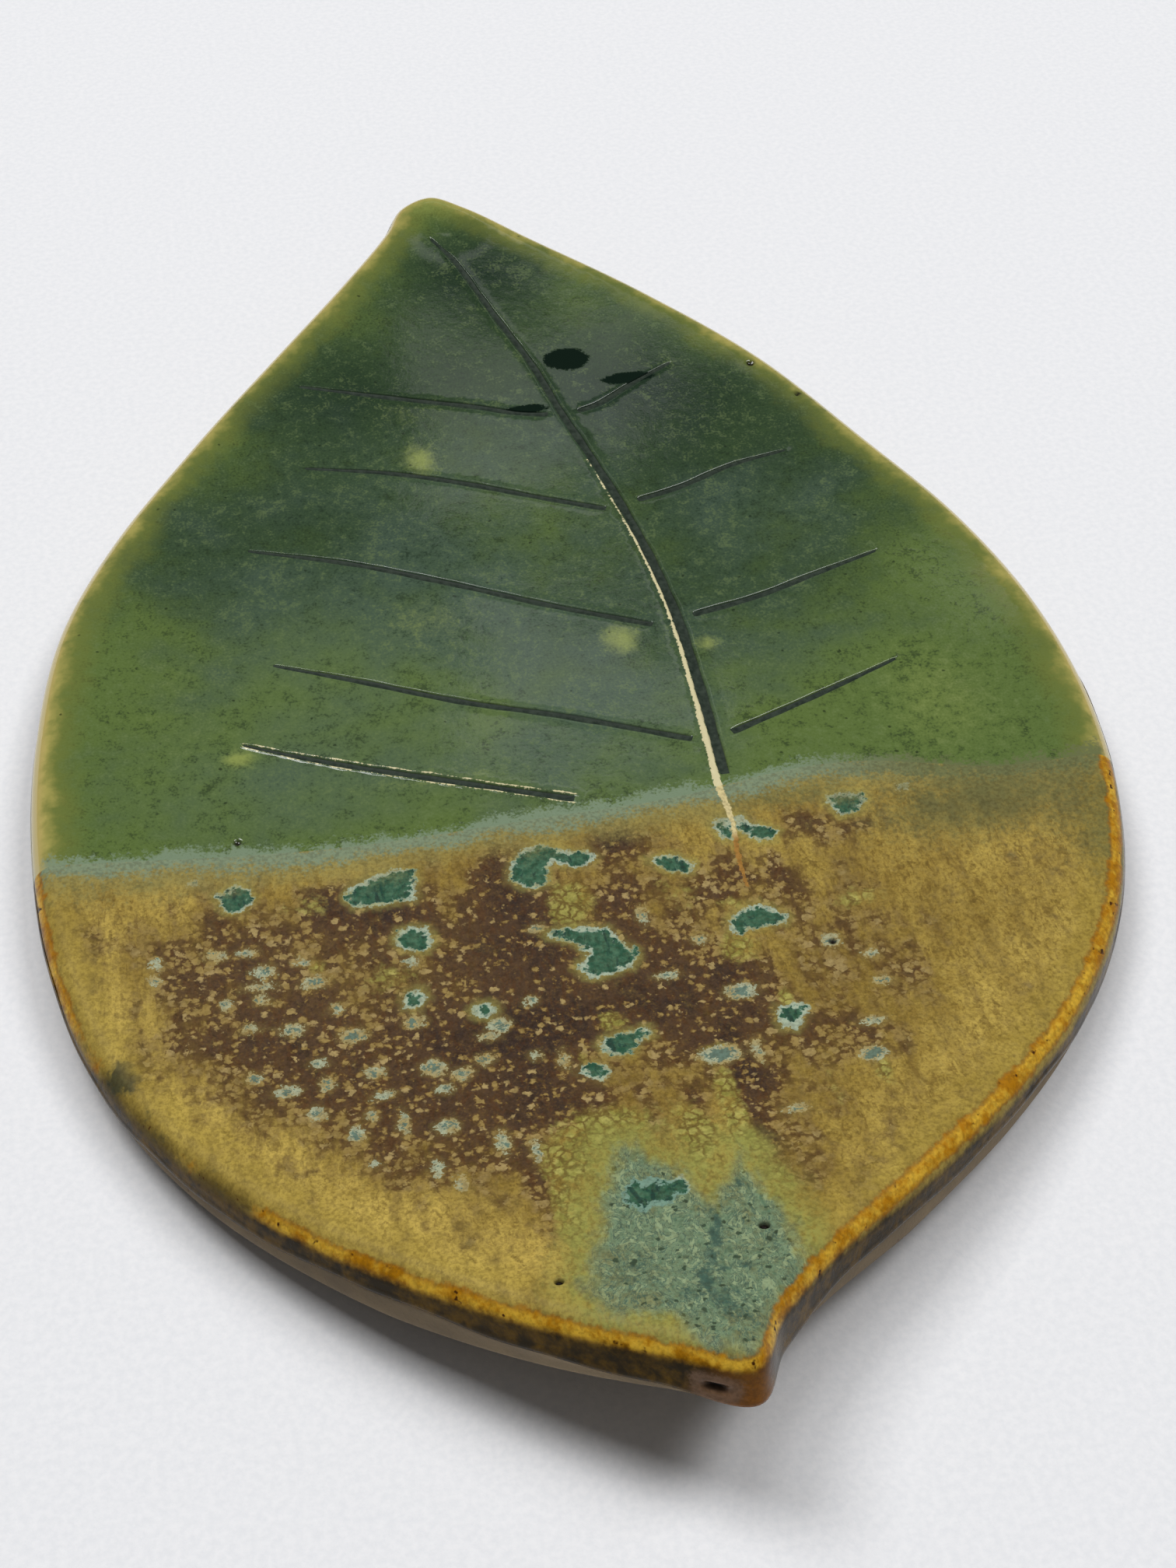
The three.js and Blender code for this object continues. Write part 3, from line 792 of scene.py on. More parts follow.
# Pale flakes: centre and half sizes
FLAKES = [
    (-41.5, -42.1, 1.2, 0.9), (-35.9, -44.6, 1.3, 0.8), (-46.7, -38.8, 0.9, 0.6),
    (-43.2, -38.8, 0.9, 0.6), (-53.5, -39, 0.8, 0.7), (-53.8, -41.6, 0.6, 0.6), (-42, -44.2, 1.2, 0.5),
    (-37, -41.3, 0.7, 0.5), (-24.6, -43.6, 0.8, 0.6), (-46, -46.3, 0.7, 0.7), (-42, -46.2, 0.7, 0.6),
    (-33.8, -49, 0.7, 0.5), (-39, -51.2, 1.2, 0.8), (-43.5, -50.3, 0.7, 0.4), (-32.5, -53.3, 1.3, 1),
    (-25.3, -52.6, 1, 0.8), (-36.6, -56.7, 0.8, 0.6), (-43.7, -57.8, 0.8, 0.8), (-30.7, -59.5, 1, 0.8),
    (-24.3, -60, 1.3, 1.1), (-40.5, -60.5, 1.2, 0.8), (-36, -60.3, 0.7, 0.9), (-21.2, -61.6, 1, 0.8),
    (-18.4, -60, 0.9, 0.7), (-23.5, -63.6, 0.9, 0.7), (-30.3, -63.2, 1, 0.5), (-37.5, -64.5, 0.9, 1),
    (-31.7, -66, 0.6, 0.7), (-33.6, -68.5, 0.9, 1.1), (-28.5, -68, 0.5, 1.3), (-24, -69.4, 1.2, 1),
    (-25.8, -75.5, 0.6, 1.2), (-32.3, -73.4, 0.6, 0.6), (-18.5, -73, 0.7, 1.5), (-15.2, -75.2, 0.5, 1.3),
    (-23.7, -78.2, 0.6, 1), (-16.2, -54.8, 1.2, 1.1), (-17.4, -56.4, 0.9, 0.6), (-10, -62, 0.5, 1),
    (7, -64.5, 2.2, 1.4), (11.7, -55, 1.8, 1.2), (11.3, -64.7, 0.5, 1.3), (23.9, -49.2, 1, 0.9),
    (23.5, -68, 1.4, 1.2), (28, -56.5, 0.8, 0.6), (27.8, -52, 0.8, 0.5), (25, -62.8, 1.3, 0.6),
    (8.8, -46.2, 0.8, 0.6), (13, -74.7, 1, 0.6), (39, -26.3, 0.8, 0.6), (-48.5, -27, 0.6, 0.4),
    (3, -41.5, 0.6, 1), (-12, -52, 0.7, 0.6), (-13, -60.5, 0.6, 0.6), (-9.5, -41.2, 0.8, 0.6),
    (4, -51, 1, 0.5),
]
FAR = 6.0


def haze(plan, patches):
    """Share from 0 to 1 that soft patches cover."""
    clear = np.ones(len(plan))
    for x, y, half_x, half_y, strength in patches:
        spread = ((plan[:, 0] - x) / half_x) ** 2 + ((plan[:, 1] - y) / half_y) ** 2
        clear *= 1 - strength * np.exp(-spread)
    return 1 - clear


def outline_distance(plan, outlines):
    """Distance to the nearest of some outlines, below 0 inside one."""
    least = np.full(len(plan), FAR)
    for outline in outlines:
        corners = np.array(outline)
        distance = np.full(len(plan), FAR)
        for start, way in zip(corners, np.roll(corners, -1, axis=0) - corners):
            share = np.clip((plan - start) @ way / (way @ way), 0, 1)
            distance = np.minimum(distance, np.linalg.norm(plan - start - share[:, None] * way, axis=1))
        least = np.minimum(least, np.where(inside(plan, corners), -distance, distance))
    return least


def flake_distance(plan):
    distance = np.full(len(plan), FAR)
    for x, y, half_x, half_y in FLAKES:
        reach = np.hypot((plan[:, 0] - x) / half_x, (plan[:, 1] - y) / half_y)
        distance = np.minimum(distance, (reach - 1) * min(half_x, half_y))
    return distance


LEAF_BORDER = 0.5
SEAM_REACH, PIT_SHADE_DEPTH = 40, 0.3
# In the green, the veil field carries the painted reflection
GREEN_PATCHES = {"glow": GREEN_GLOWS, "cloud": GREEN_SHADES, "pool": POOLS, "veil": PAINTED_GREEN_REFLECTIONS}
AMBER_PATCHES = {
    "glow": YELLOWS, "cloud": CLOUDS, "veil": VEILS, "smear": SMEARS, "painted_light": PAINTED_LIGHT_PATCHES, "pool": STREAKS,
}


def glaze_fields(plan, places, past_crest, tip_side):
    """Values that the glaze materials read at points of the plan, which lie at these places on the glaze."""
    near = NearVeins(plan)
    seen = places[:, :2]
    fields = {
        "edge": past_crest,
        "seam": np.clip(seam_distance(plan), -SEAM_REACH, SEAM_REACH),
        "vein": np.exp(-(near.spread**4)) * np.clip(near.depth / VEIN_DEPTH, 0, 1),
        "burr": burr_at(plan, near),
        # Share of painted shade in the pits, which both glazes darken
        "pit_shade": np.clip(pit_depth(plan) / PIT_SHADE_DEPTH, 0, 1),
    }
    for name, patches in (GREEN_PATCHES if tip_side else AMBER_PATCHES).items():
        fields[name] = haze(seen, patches)
    if not tip_side:
        leaf = outline_distance(seen, [DARK_LEAF]) - LEAF_BORDER
        fields["spot"] = np.minimum(outline_distance(seen, SPOTS), leaf)
        fields["flake"] = flake_distance(seen)
        fields["teal"] = -outline_distance(seen, [STEM_ZONE])
    return fields


def rising(plan, faces):
    """The triangles with their corners in the order that faces up."""
    a, b, c = (plan[faces[:, i]] for i in range(3))
    up = (b[:, 0] - a[:, 0]) * (c[:, 1] - a[:, 1]) - (b[:, 1] - a[:, 1]) * (c[:, 0] - a[:, 0])
    return np.where((up > 0)[:, None], faces, faces[:, ::-1])


def renumbered(faces):
    """The points that faces use and the faces with numbers among those."""
    used, new = np.unique(faces, return_inverse=True)
    return used, new.reshape(faces.shape)


def number_in(used, wanted):
    return np.searchsorted(used, wanted)


def coat_piece(name, tip_side, material):
    """One glaze coat: its top, the rim and wall it covers, and its hidden inside."""
    if tip_side:
        row = np.arange(split_right, split_left + STATIONS + 1) % STATIONS
    else:
        row = np.arange(split_left, split_right + 1)
    builder = Builder()
    outer, inner = outer_rings(), inner_rings()
    spread = unrolled(outer[0][2])[row]
    low = np.minimum(spread.min(0), inset_line[row].min(0)) - MAP_MARGIN
    high = np.maximum(spread.max(0), inset_line[row].max(0)) + MAP_MARGIN
    flat = FlatMap(low, high)

    used, faces = renumbered(rising(fine.plan, fine.faces[fine.on_tip_side == tip_side]))
    plan = fine.plan[used]
    past_crest = CREST + nearest(edge_tree, plan)[1] - RIM_RADIUS
    places = on_slab(plan, top_height(plan, NearVeins(plan)))
    top = builder.add(places, flat.shown(plan), glaze_fields(plan, places, past_crest, tip_side))
    builder.faces.extend(map(tuple, top[faces]))
    outer_row = top[number_in(used, fine.ring[row])]
    outer_seam = top[number_in(used, fine.seam)]

    used, faces = renumbered(rising(hidden.plan, hidden.faces[hidden.on_tip_side == tip_side]))
    plan = hidden.plan[used]
    height = hidden_top(plan, NearVeins(plan), GLAZE_THICKNESS)
    under = builder.add(on_slab(plan, height), flat.concealed(plan), {})
    builder.faces.extend(map(tuple, under[faces[:, ::-1]]))
    inner_row = under[number_in(used, hidden.ring[row])]
    inner_seam = under[number_in(used, hidden.seam)]

    rows = [inner_row]
    for plan, height, _ in inner[-2::-1]:
        rows.append(builder.add(on_slab(plan[row], height[row]), flat.concealed(plan[row]), {}))
    for plan, height, past_crest in outer[:-1]:
        places = on_slab(plan[row], height[row])
        fields = glaze_fields(plan[row], places, past_crest[row], tip_side)
        if not tip_side:
            # The slot at the stem's end takes the same painted shade as the pits
            fields["pit_shade"] = np.maximum(fields["pit_shade"], slot_share(edge[row], height[row]))
            fields["halo"] = slot_share(edge[row], height[row], SLOT_HALO_WIDER, SLOT_HALO_HIGHER)
        rows.append(builder.add(places, flat.shown(unrolled(past_crest)[row]), fields))
    rows.append(outer_row)
    builder.rows(rows)
    builder.faces.append(tuple(r[0] for r in rows))
    builder.faces.append(tuple(r[-1] for r in reversed(rows)))
    order = slice(None, None, -1) if tip_side else slice(None)
    builder.strip(inner_seam[order][::-1], outer_seam[order][::-1])
    builder.make(name, material)


# The clay's edge: how far it stands back, and its heights under the glaze's lower end
CLAY_INSET, CLAY_STEP_INSET = 0.55, 0.1
FOOT_BELOW, CLAY_BELOW, CLAY_STEP_BELOW, CLAY_END_BELOW = 0.8, 0.5, 0.38, 0.3
FOOT_GAP = 0.1
UNDERSIDE_WAVE, UNDERSIDE_EASE = 0.12, 6


def slab_rings():
    """The clay's edge from the underside over the foot and the wall to the part under the glaze."""
    line = glaze_line()
    lifted = nose_lift(edge)
    tucked = CLAY_INSET + NOSE_TUCK * towards_nose(edge, NOSE_RUN)
    foot_width = RIM_RADIUS - FOOT_GAP - tucked
    foot_height = np.minimum(FOOT_RADIUS, line - FOOT_BELOW - lifted)
    rings = []
    for i in range(FOOT_STEPS + 1):
        angle = QUARTER * i / FOOT_STEPS
        inset = tucked + foot_width * (1 - math.sin(angle))
        rings.append((station_plan(inset), lifted + foot_height * (1 - math.cos(angle))))
    wall_top = full_thickness(edge) - RIM_RADIUS
    foot_top = lifted + foot_height
    for share in (0.33, 0.67, 1.0):
        inset = tucked + (CLAY_INSET - tucked) * share
        rings.append((station_plan(inset), foot_top + (line - CLAY_BELOW - foot_top) * share))
    rings.append((station_plan(CLAY_INSET + CLAY_STEP_INSET), line - CLAY_STEP_BELOW))
    rings.append((station_plan(GLAZE_COVER), line - CLAY_END_BELOW))
    rings.append((station_plan(GLAZE_COVER), np.maximum(wall_top - CLAY_END_BELOW, line)))
    under = rim_rings(RIM_RADIUS - GLAZE_COVER, GLAZE_COVER, GLAZE_COVER, INNER_RIM_STEPS)
    return rings + [(plan, height) for plan, height, _ in under[:-1]]


def underside_unevenness(plan):
    x, y = plan.T
    return UNDERSIDE_WAVE + UNDERSIDE_WAVE * np.sin(x / 8 + y / 21) * np.cos(y / 9.5 + 0.6)


def slab_piece(material):
    """The clay: its underside, its edge and its top under the glaze."""
    builder = Builder()
    faces = rising(hidden.plan, hidden.faces)
    plan = hidden.plan
    flat = FlatMap(edge.min(0) - CLAY_MAP_MARGIN, edge.max(0) + CLAY_MAP_MARGIN)
    eased = np.clip(nearest(tree_of(inset_line), plan)[1] / UNDERSIDE_EASE, 0, 1)
    rise = nose_lift(plan) + underside_unevenness(plan) * eased
    bottom = builder.add(on_slab(plan, rise), flat.shown(plan), {})
    builder.faces.extend(map(tuple, bottom[faces[:, ::-1]]))
    rows = [bottom[hidden.ring]]
    for number, (ring_plan, height) in enumerate(slab_rings(), 1):
        places = inset_line - edge_inward * (CLAY_MAP_STEP * number)
        rows.append(builder.add(on_slab(ring_plan, height), flat.shown(places), {}))
    top_heights = hidden_top(plan, NearVeins(plan), GLAZE_COVER)
    top = builder.add(on_slab(plan, top_heights), flat.concealed(plan), {})
    builder.faces.extend(map(tuple, top[faces]))
    rows.append(top[hidden.ring])
    builder.rows(rows, closed=True)
    builder.make("stoneware_slab_look", material)


# The glaze in a groove: how far it reaches across, its thinnest skin and its place on the flat map
FILL_REACH = GROOVE_SHOULDER * (-math.log(FILL_LEVEL)) ** 0.25
FILL_ACROSS = (-1.06, -0.75, -0.4, 0.0, 0.4, 0.75, 1.06)
FILL_SKIN, FILL_SINK = 0.03, 0.1
FILL_MAP_TOP, FILL_MAP_UNDER, FILL_MAP_HALF = 0.25, 0.75, 0.1


def fill_piece(vein, material):
    """Dark glaze lying in a groove, hollow across, with its underside on the groove."""
    builder = Builder()
    along = np.linspace(0, 1, len(vein.line))
    rows = []
    for over, shares in ((True, FILL_ACROSS), (False, FILL_ACROSS[::-1])):
        for share in shares:
            plan = vein.line + vein.across * (vein.half * FILL_REACH * share)[:, None]
            height = full_thickness(plan)
            if over:
                height = height - vein.depth * (FILL_LEVEL + FILL_HOLLOW * (1 - share**2))
            else:
                groove = np.exp(-((abs(share) * FILL_REACH / GROOVE_SHOULDER) ** 4))
                height = height - vein.depth * groove - FILL_SKIN - FILL_SINK * vein.depth
            place = (FILL_MAP_TOP if over else FILL_MAP_UNDER) + FILL_MAP_HALF * share
            places = np.stack([along, np.full(len(along), place)], 1)
            rows.append(builder.add(on_slab(plan, height), places, {}))
    rows.append(rows[0])
    builder.rows(rows[::-1])
    builder.faces.append(tuple(r[0] for r in rows[:-1][::-1]))
    builder.faces.append(tuple(r[-1] for r in rows[:-1]))
    builder.make(f"{vein.name}_look", material)


# Materials

def linear(colour):
    """A colour written as on a screen, 0 to 255, as the linear colour that a shader takes."""
    parts = [v / 255 for v in colour]
    return (*(v / 12.92 if v <= 0.04045 else ((v + 0.055) / 1.055) ** 2.4 for v in parts), 1.0)


class Paint:
    """A node material that is built up step by step, with noises of named sizes in millimetres."""

    def __init__(self, name, **noise_sizes):
        self.material = bpy.data.materials.new(name)
        self.material.use_nodes = True
        self.tree = self.material.node_tree
        self.shader = self.tree.nodes["Principled BSDF"]
        self.place = self.node("ShaderNodeTexCoord", {}).outputs["Object"]
        self.noises = {}
        for size, length in noise_sizes.items():
            self.noises[size] = self.noise(length, detail=4, roughness=0.58)

    def node(self, kind, inputs, **settings):
        """A new node with its settings, and with values or links put into its inputs."""
        made = self.tree.nodes.new(kind)
        for name, value in settings.items():
            setattr(made, name, value)
        for key, value in inputs.items():
            self.put(made.inputs[key], value)
        return made

    def put(self, socket, value):
        if isinstance(value, bpy.types.NodeSocket):
            self.tree.links.new(value, socket)
        else:
            socket.default_value = value

    def field(self, name):
        return self.node("ShaderNodeAttribute", {}, attribute_name=name).outputs["Fac"]

    def noise(self, size, detail=3.0, roughness=0.55, distortion=0.0, shift=0.0, squeeze=None):
        """Noise about 0.5, with features of about a size in millimetres."""
        inputs = {
            "Vector": self.squeezed(squeeze) if squeeze else self.place, "W": shift, "Detail": detail,
            "Scale": 1 / (size * MM), "Roughness": roughness, "Distortion": distortion,
        }
        return self.node("ShaderNodeTexNoise", inputs, noise_dimensions="4D").outputs["Fac"]

    def squeezed(self, factors):
        """The place with its axes squeezed, so that a pattern stretches along the smallest."""
        inputs = {0: self.place, 1: factors}
        return self.node("ShaderNodeVectorMath", inputs, operation="MULTIPLY").outputs["Vector"]

    def moved(self, size, reach, place=None):
        """A place moved about by noise, to break up regular cells."""
        inputs = {"Vector": self.place, "Scale": 1 / (size * MM), "Detail": 2.0}
        noise = self.node("ShaderNodeTexNoise", inputs).outputs["Color"]
        inputs = {0: noise, 1: (reach * MM,) * 3, 2: place or self.place}
        return self.node("ShaderNodeVectorMath", inputs, operation="MULTIPLY_ADD").outputs["Vector"]

    def cells(self, size, place, feature="F1"):
        """Distance in cells of a size, and three random numbers for each cell."""
        inputs = {"Vector": place, "Scale": 1 / (size * MM)}
        made = self.node("ShaderNodeTexVoronoi", inputs, feature=feature)
        if feature != "F1":
            return made.outputs["Distance"], None
        numbers = self.node("ShaderNodeSeparateColor", {0: made.outputs["Color"]})
        return made.outputs["Distance"], numbers.outputs

    def along(self, axis):
        """The place along X, Y or Z in metres."""
        return self.node("ShaderNodeSeparateXYZ", {0: self.place}).outputs[axis]

    def maths(self, operation, a, b=0.0):
        return self.node("ShaderNodeMath", {0: a, 1: b}, operation=operation).outputs[0]

    def times(self, a, b):
        return self.maths("MULTIPLY", a, b)

    def sum(self, *terms):
        total = terms[0]
        for term in terms[1:]:
            total = self.maths("ADD", total, term)
        return total

    def step(self, value, low, high, start=0.0, end=1.0):
        """Soft step of a value from low to high."""
        inputs = dict(enumerate((value, low, high, start, end)))
        return self.node("ShaderNodeMapRange", inputs, interpolation_type="SMOOTHSTEP").outputs[0]

    def about(self, noise, reach):
        """Noise turned into a swing of so much to both sides of 0."""
        inputs = dict(enumerate((noise, 0.0, 1.0, -reach, reach)))
        return self.node("ShaderNodeMapRange", inputs, clamp=False).outputs[0]

    def uneven(self, value, **swings):
        """A value with the paint's noises added, each by so much to both sides."""
        return self.sum(value, *(self.about(self.noises[size], swing) for size, swing in swings.items()))

    def blend(self, share, under, over):
        """Mix of two colours, each from a node or written as on a screen."""
        under, over = (linear(c) if isinstance(c, tuple) else c for c in (under, over))
        return self.node("ShaderNodeMix", {0: share, 6: under, 7: over}, data_type="RGBA").outputs[2]

    def lay(self, under, over, value, none, full, most=1.0):
        """One colour laid over another, from a value where none of it shows to one where its most does."""
        steps = (none, full, 0.0, most) if none < full else (full, none, most, 0.0)
        return self.blend(self.step(value, *steps), under, over)

    def relief(self, height, depth):
        """Bump of a height map whose full swing is a depth in millimetres."""
        made = self.node("ShaderNodeBump", {"Distance": depth * MM, "Height": height})
        self.put(self.shader.inputs["Normal"], made.outputs["Normal"])

    def done(self, colour, roughness, specular=0.5):
        self.put(self.shader.inputs["Base Color"], colour)
        self.put(self.shader.inputs["Roughness"], roughness)
        self.put(self.shader.inputs["Specular IOR Level"], specular)
        return self.material


def seam_band(p, colour):
    """Blue-grey band along the seam, worked out alike for both glazes so that it runs through."""
    wander, fine, dust = p.noise(9, 3, shift=9.0), p.noise(1.3, 4, 0.6, shift=9.0), p.noise(0.4, 3, shift=9.0)
    across = p.sum(p.field("seam"), p.about(wander, 2.5), p.about(fine, 2.4), p.about(dust, 3.0))
    share = p.times(p.step(across, -3.2, -0.7, 0.0, 0.9), p.step(across, 0.2, 1.9, 1.0, 0.0))
    band = p.lay((126, 144, 118), (106, 112, 74), p.along(0), 0.022, 0.045)
    return p.blend(share, colour, band)


def burr_flakes(p, colour, cream):
    flake = p.uneven(p.field("burr"), small=0.35, grain=0.35)
    return p.lay(colour, cream, flake, -0.02, 0.07)


def green_glaze():
    p = Paint("green_glaze_paint", broad=30, middle=8, small=1.6, grain=0.35)
    edge_at = p.field("edge")
    shade = p.uneven(p.field("cloud"), broad=0.5, middle=0.4, small=0.25)
    colour = p.lay((92, 112, 56), (52, 72, 44), shade, 0.0, 0.55)
    colour = p.lay(colour, (22, 42, 30), shade, 0.45, 1.0)
    # Painted reflection: grey-blue veil of bright light mirrored in the glaze
    painted_reflection = p.uneven(p.field("veil"), broad=0.5, middle=0.4)
    colour = p.lay(colour, (80, 99, 84), painted_reflection, 0.1, 0.8, 0.65)
    mottle = p.uneven(0.0, middle=0.5, small=1.0, grain=1.0)
    colour = p.lay(colour, (110, 128, 80), mottle, 0.0, 0.6, 0.45)
    colour = p.lay(colour, (22, 38, 26), mottle, 0.0, -0.6, 0.6)
    near_edge = p.uneven(edge_at, middle=3.0, small=1.5)
    colour = p.lay(colour, (112, 120, 56), near_edge, 7.0, 1.5, 0.8)
    colour = p.lay(colour, (172, 162, 88), near_edge, 3.0, 0.0)
    glow = p.uneven(p.field("glow"), small=0.3, grain=0.2)
    colour = p.lay(colour, (158, 168, 88), glow, 0.1, 1.0, 0.75)
    distance, chosen = p.cells(2.4, p.moved(1.2, 0.8))
    dot = p.times(p.step(distance, 0.06, 0.13, 0.7, 0.0), p.step(chosen[0], 0.75, 0.8))
    colour = p.blend(dot, colour, (22, 34, 18))
    pool = p.step(p.uneven(p.field("pool"), small=0.2, grain=0.25), 0.35, 0.45)
    colour = p.blend(pool, colour, (14, 28, 20))
    colour = seam_band(p, colour)
    # Dark glaze pooled in the grooves; on the groove walls the darkening is partly painted shade
    colour = p.lay(colour, (24, 34, 28), p.field("vein"), 0.3, 0.85, 0.85)
    colour = burr_flakes(p, colour, (218, 208, 164))
    crest = p.uneven(p.maths("ABSOLUTE", p.sum(edge_at, 0.6)), small=0.9, middle=0.5)
    colour = p.lay(colour, (196, 176, 106), crest, 1.9, 0.5, 0.85)
    wall = p.uneven(edge_at, small=0.8)
    olive = p.lay((84, 84, 32), (120, 112, 54), p.noises["middle"], 0.35, 0.65)
    colour = p.lay(colour, olive, wall, -1.6, -3.4)
    # Painted shade in the pits
    colour = p.blend(p.field("pit_shade"), colour, (30, 28, 16))
    roughness = p.step(p.uneven(p.noises["small"], middle=0.3), 0.2, 0.8, 0.05, 0.1)
    roughness = p.sum(roughness, p.times(p.field("vein"), 0.4), p.times(pool, 0.5))
    soft = p.noise(3.5, 2)
    p.relief(p.uneven(soft, small=0.5, grain=0.15), 0.014)
    return p.done(colour, roughness, p.step(pool, 0.0, 1.0, 0.5, 0.03))


def amber_gold(p):
    tone = p.sum(p.uneven(p.noises["middle"], broad=0.7), p.about(p.fibre, 0.5))
    colour = p.lay((144, 119, 54), (188, 162, 80), tone, 0.15, 0.85)
    # Painted light: paler gold near the rim, where the slab curves towards the light
    painted_light = p.uneven(p.field("painted_light"), middle=0.5, small=0.3)
    colour = p.lay(colour, (210, 182, 92), painted_light, 0.1, 0.9, 0.85)
    colour = p.lay(colour, (198, 174, 92), p.noises["small"], 0.5, 0.75, 0.5)
    colour = p.lay(colour, (112, 90, 44), p.fibre, 0.48, 0.36, 0.5)
    return p.lay(colour, (104, 84, 38), p.noises["grain"], 0.55, 0.35, 0.4)


def amber_net(p):
    """Tan pebbles between brown lines, which widen into dark clouds."""
    cloud = p.sum(p.uneven(p.field("cloud"), middle=0.5, broad=0.3), p.about(p.flow, 0.4))
    cloud = p.sum(cloud, p.times(p.step(p.yellow, 0.2, 0.8), -0.3))
    bent = p.moved(1.3, 1.4)
    inward, _ = p.cells(1.5, bent, "DISTANCE_TO_EDGE")
    near, random = p.cells(1.05, p.moved(0.45, 0.7, bent))
    size = p.sum(p.times(random[0], 0.5), p.step(cloud, 0.0, 0.8, 0.55, 0.02))
    over = p.uneven(p.sum(size, p.times(near, -1.0)), grain=0.2, small=0.4)
    pebble = p.step(over, -0.08, 0.14)
    mottle = p.uneven(p.noises["small"], grain=0.6)
    gold = amber_gold(p)
    shade = p.sum(p.uneven(cloud, grain=0.3, small=0.4), p.about(p.flow, 0.5), p.about(p.fibre, 0.5))
    gold = p.lay(gold, (106, 84, 46), shade, -0.1, 0.6, 0.85)
    tan = p.lay((112, 86, 46), (156, 132, 78), over, 0.0, 0.3)
    tan = p.lay(tan, (178, 156, 106), random[1], 0.55, 1.0, 0.7)
    ground = p.lay((124, 98, 46), (96, 74, 42), cloud, 0.0, 0.35)
    ground = p.lay(ground, (84, 64, 46), cloud, 0.3, 0.65)
    ground = p.lay(ground, (60, 48, 42), cloud, 0.6, 0.95)
    patch = p.uneven(p.noises["middle"], small=0.5, grain=0.4)
    ground = p.lay(ground, (104, 80, 48), patch, 0.45, 0.8, 0.5)
    rust = p.times(p.step(p.fibre, 0.48, 0.64, 0.0, 0.35), p.step(cloud, 0.15, 0.45))
    ground = p.blend(rust, ground, (92, 56, 24))
    ground = p.lay(ground, (108, 82, 46), mottle, 0.5, 0.85, 0.6)
    ground = p.lay(ground, (42, 30, 22), mottle, 0.45, 0.15, 0.5)
    islands = p.lay(gold, tan, cloud, 0.1, 0.55)
    lines = p.lay(gold, ground, cloud, 0.0, 0.5)
    colour = p.blend(pebble, lines, islands)
    cell = p.step(p.uneven(inward, grain=0.15), 0.0, 0.2)
    pale = p.blend(random[1], (140, 134, 62), (180, 172, 94))
    pale = p.blend(cell, (112, 94, 46), pale)
    broken = p.step(p.uneven(p.noises["middle"], small=0.6), 0.25, 0.5, 0.45, 1.0)
    share = p.times(p.step(p.yellow, 0.3, 0.7, 0.0, 0.95), broken)
    return p.blend(share, colour, pale), pebble


def amber_turquoise(p, colour):
    """Milky turquoise zone at the stem, with a yellow-green border, streaks and dark flecks."""
    zone = p.sum(p.uneven(p.field("teal"), middle=1.6, small=1.2), p.about(p.flow, 2.4))
    border = p.times(p.step(zone, -5.8, -0.5, 0.0, 0.85), p.step(p.fibre, 0.3, 0.6, 0.4, 1.0))
    colour = p.blend(border, colour, (148, 148, 76))
    swirl = p.noise(2.4, 4, 0.65, 2.6, 7.0, (1.0, 0.6, 1.0))
    teal = p.lay((84, 114, 92), (146, 164, 126), swirl, 0.3, 0.65)
    olive = p.uneven(p.noises["broad"], middle=0.5, small=0.4)
    teal = p.lay(teal, (124, 124, 82), olive, 0.4, 0.75, 0.75)
    deep = p.uneven(p.field("pool"), middle=0.4, small=0.6, grain=0.6)
    teal = p.lay(teal, (52, 86, 80), deep, 0.15, 0.7, 0.9)
    teal = p.lay(teal, (146, 168, 134), p.fibre, 0.5, 0.75, 0.35)
    teal = p.lay(teal, (66, 96, 82), p.fibre, 0.42, 0.3, 0.6)
    crease = p.maths("ABSOLUTE", p.sum(swirl, -0.52))
    teal = p.lay(teal, (60, 92, 84), crease, 0.04, 0.0, 0.8)
    distance, chosen = p.cells(1.15, p.moved(0.8, 1.1))
    fleck = p.times(p.step(distance, 0.2, 0.32, 1.0, 0.0), p.step(chosen[0], 0.45, 0.55, 0.0, 0.9))
    teal = p.blend(fleck, teal, (44, 66, 54))
    return p.lay(colour, teal, zone, -1.2, 1.6, 0.95)


def amber_flakes(p, colour):
    """Small pale flakes, the larger ones with a grey heart."""
    flake = p.uneven(p.sum(p.field("flake"), -0.1), middle=0.5, small=1.1, grain=0.8)
    colour = p.lay(colour, (146, 128, 70), flake, 0.7, 0.0, 0.35)
    pale = p.lay((170, 154, 104), (172, 178, 148), p.noises["middle"], 0.42, 0.58)
    colour = p.lay(colour, pale, flake, 0.06, -0.1, 0.95)
    heart = p.uneven(flake, small=0.6, grain=0.6)
    return p.lay(colour, (92, 118, 106), heart, -0.45, -0.7, 0.9)


def amber_spots(p, colour):
    """Teal spots with pale borders, which turn bluish inside the zone at the stem."""
    edge_at = p.uneven(p.field("spot"), middle=0.5, small=1.0, grain=0.45)
    halo = p.times(p.step(edge_at, 0.0, 1.3, 0.6, 0.0), p.step(p.noises["broad"], 0.35, 0.6, 0.2, 1.0))
    in_zone = p.step(p.field("teal"), 0.0, 2.0)
    colour = p.blend(p.times(halo, p.step(in_zone, 0.0, 1.0, 1.0, 0.0)), colour, (156, 148, 80))
    border = p.lay((158, 158, 108), (170, 184, 160), p.noises["middle"], 0.36, 0.56)
    border = p.blend(in_zone, border, (122, 154, 136))
    colour = p.lay(colour, border, edge_at, 0.12, -0.1, 0.95)
    core_at = p.uneven(edge_at, middle=0.7, small=0.6)
    colour = p.lay(colour, (108, 140, 126), core_at, -0.25, -0.55)
    core = p.lay((42, 82, 62), (80, 116, 90), p.noises["small"], 0.3, 0.7)
    core = p.lay(core, (30, 56, 52), p.flow, 0.52, 0.6, 0.75)
    core = p.lay(core, (34, 62, 56), p.fibre, 0.56, 0.64, 0.7)
    return p.lay(colour, core, core_at, -0.42, -0.6)


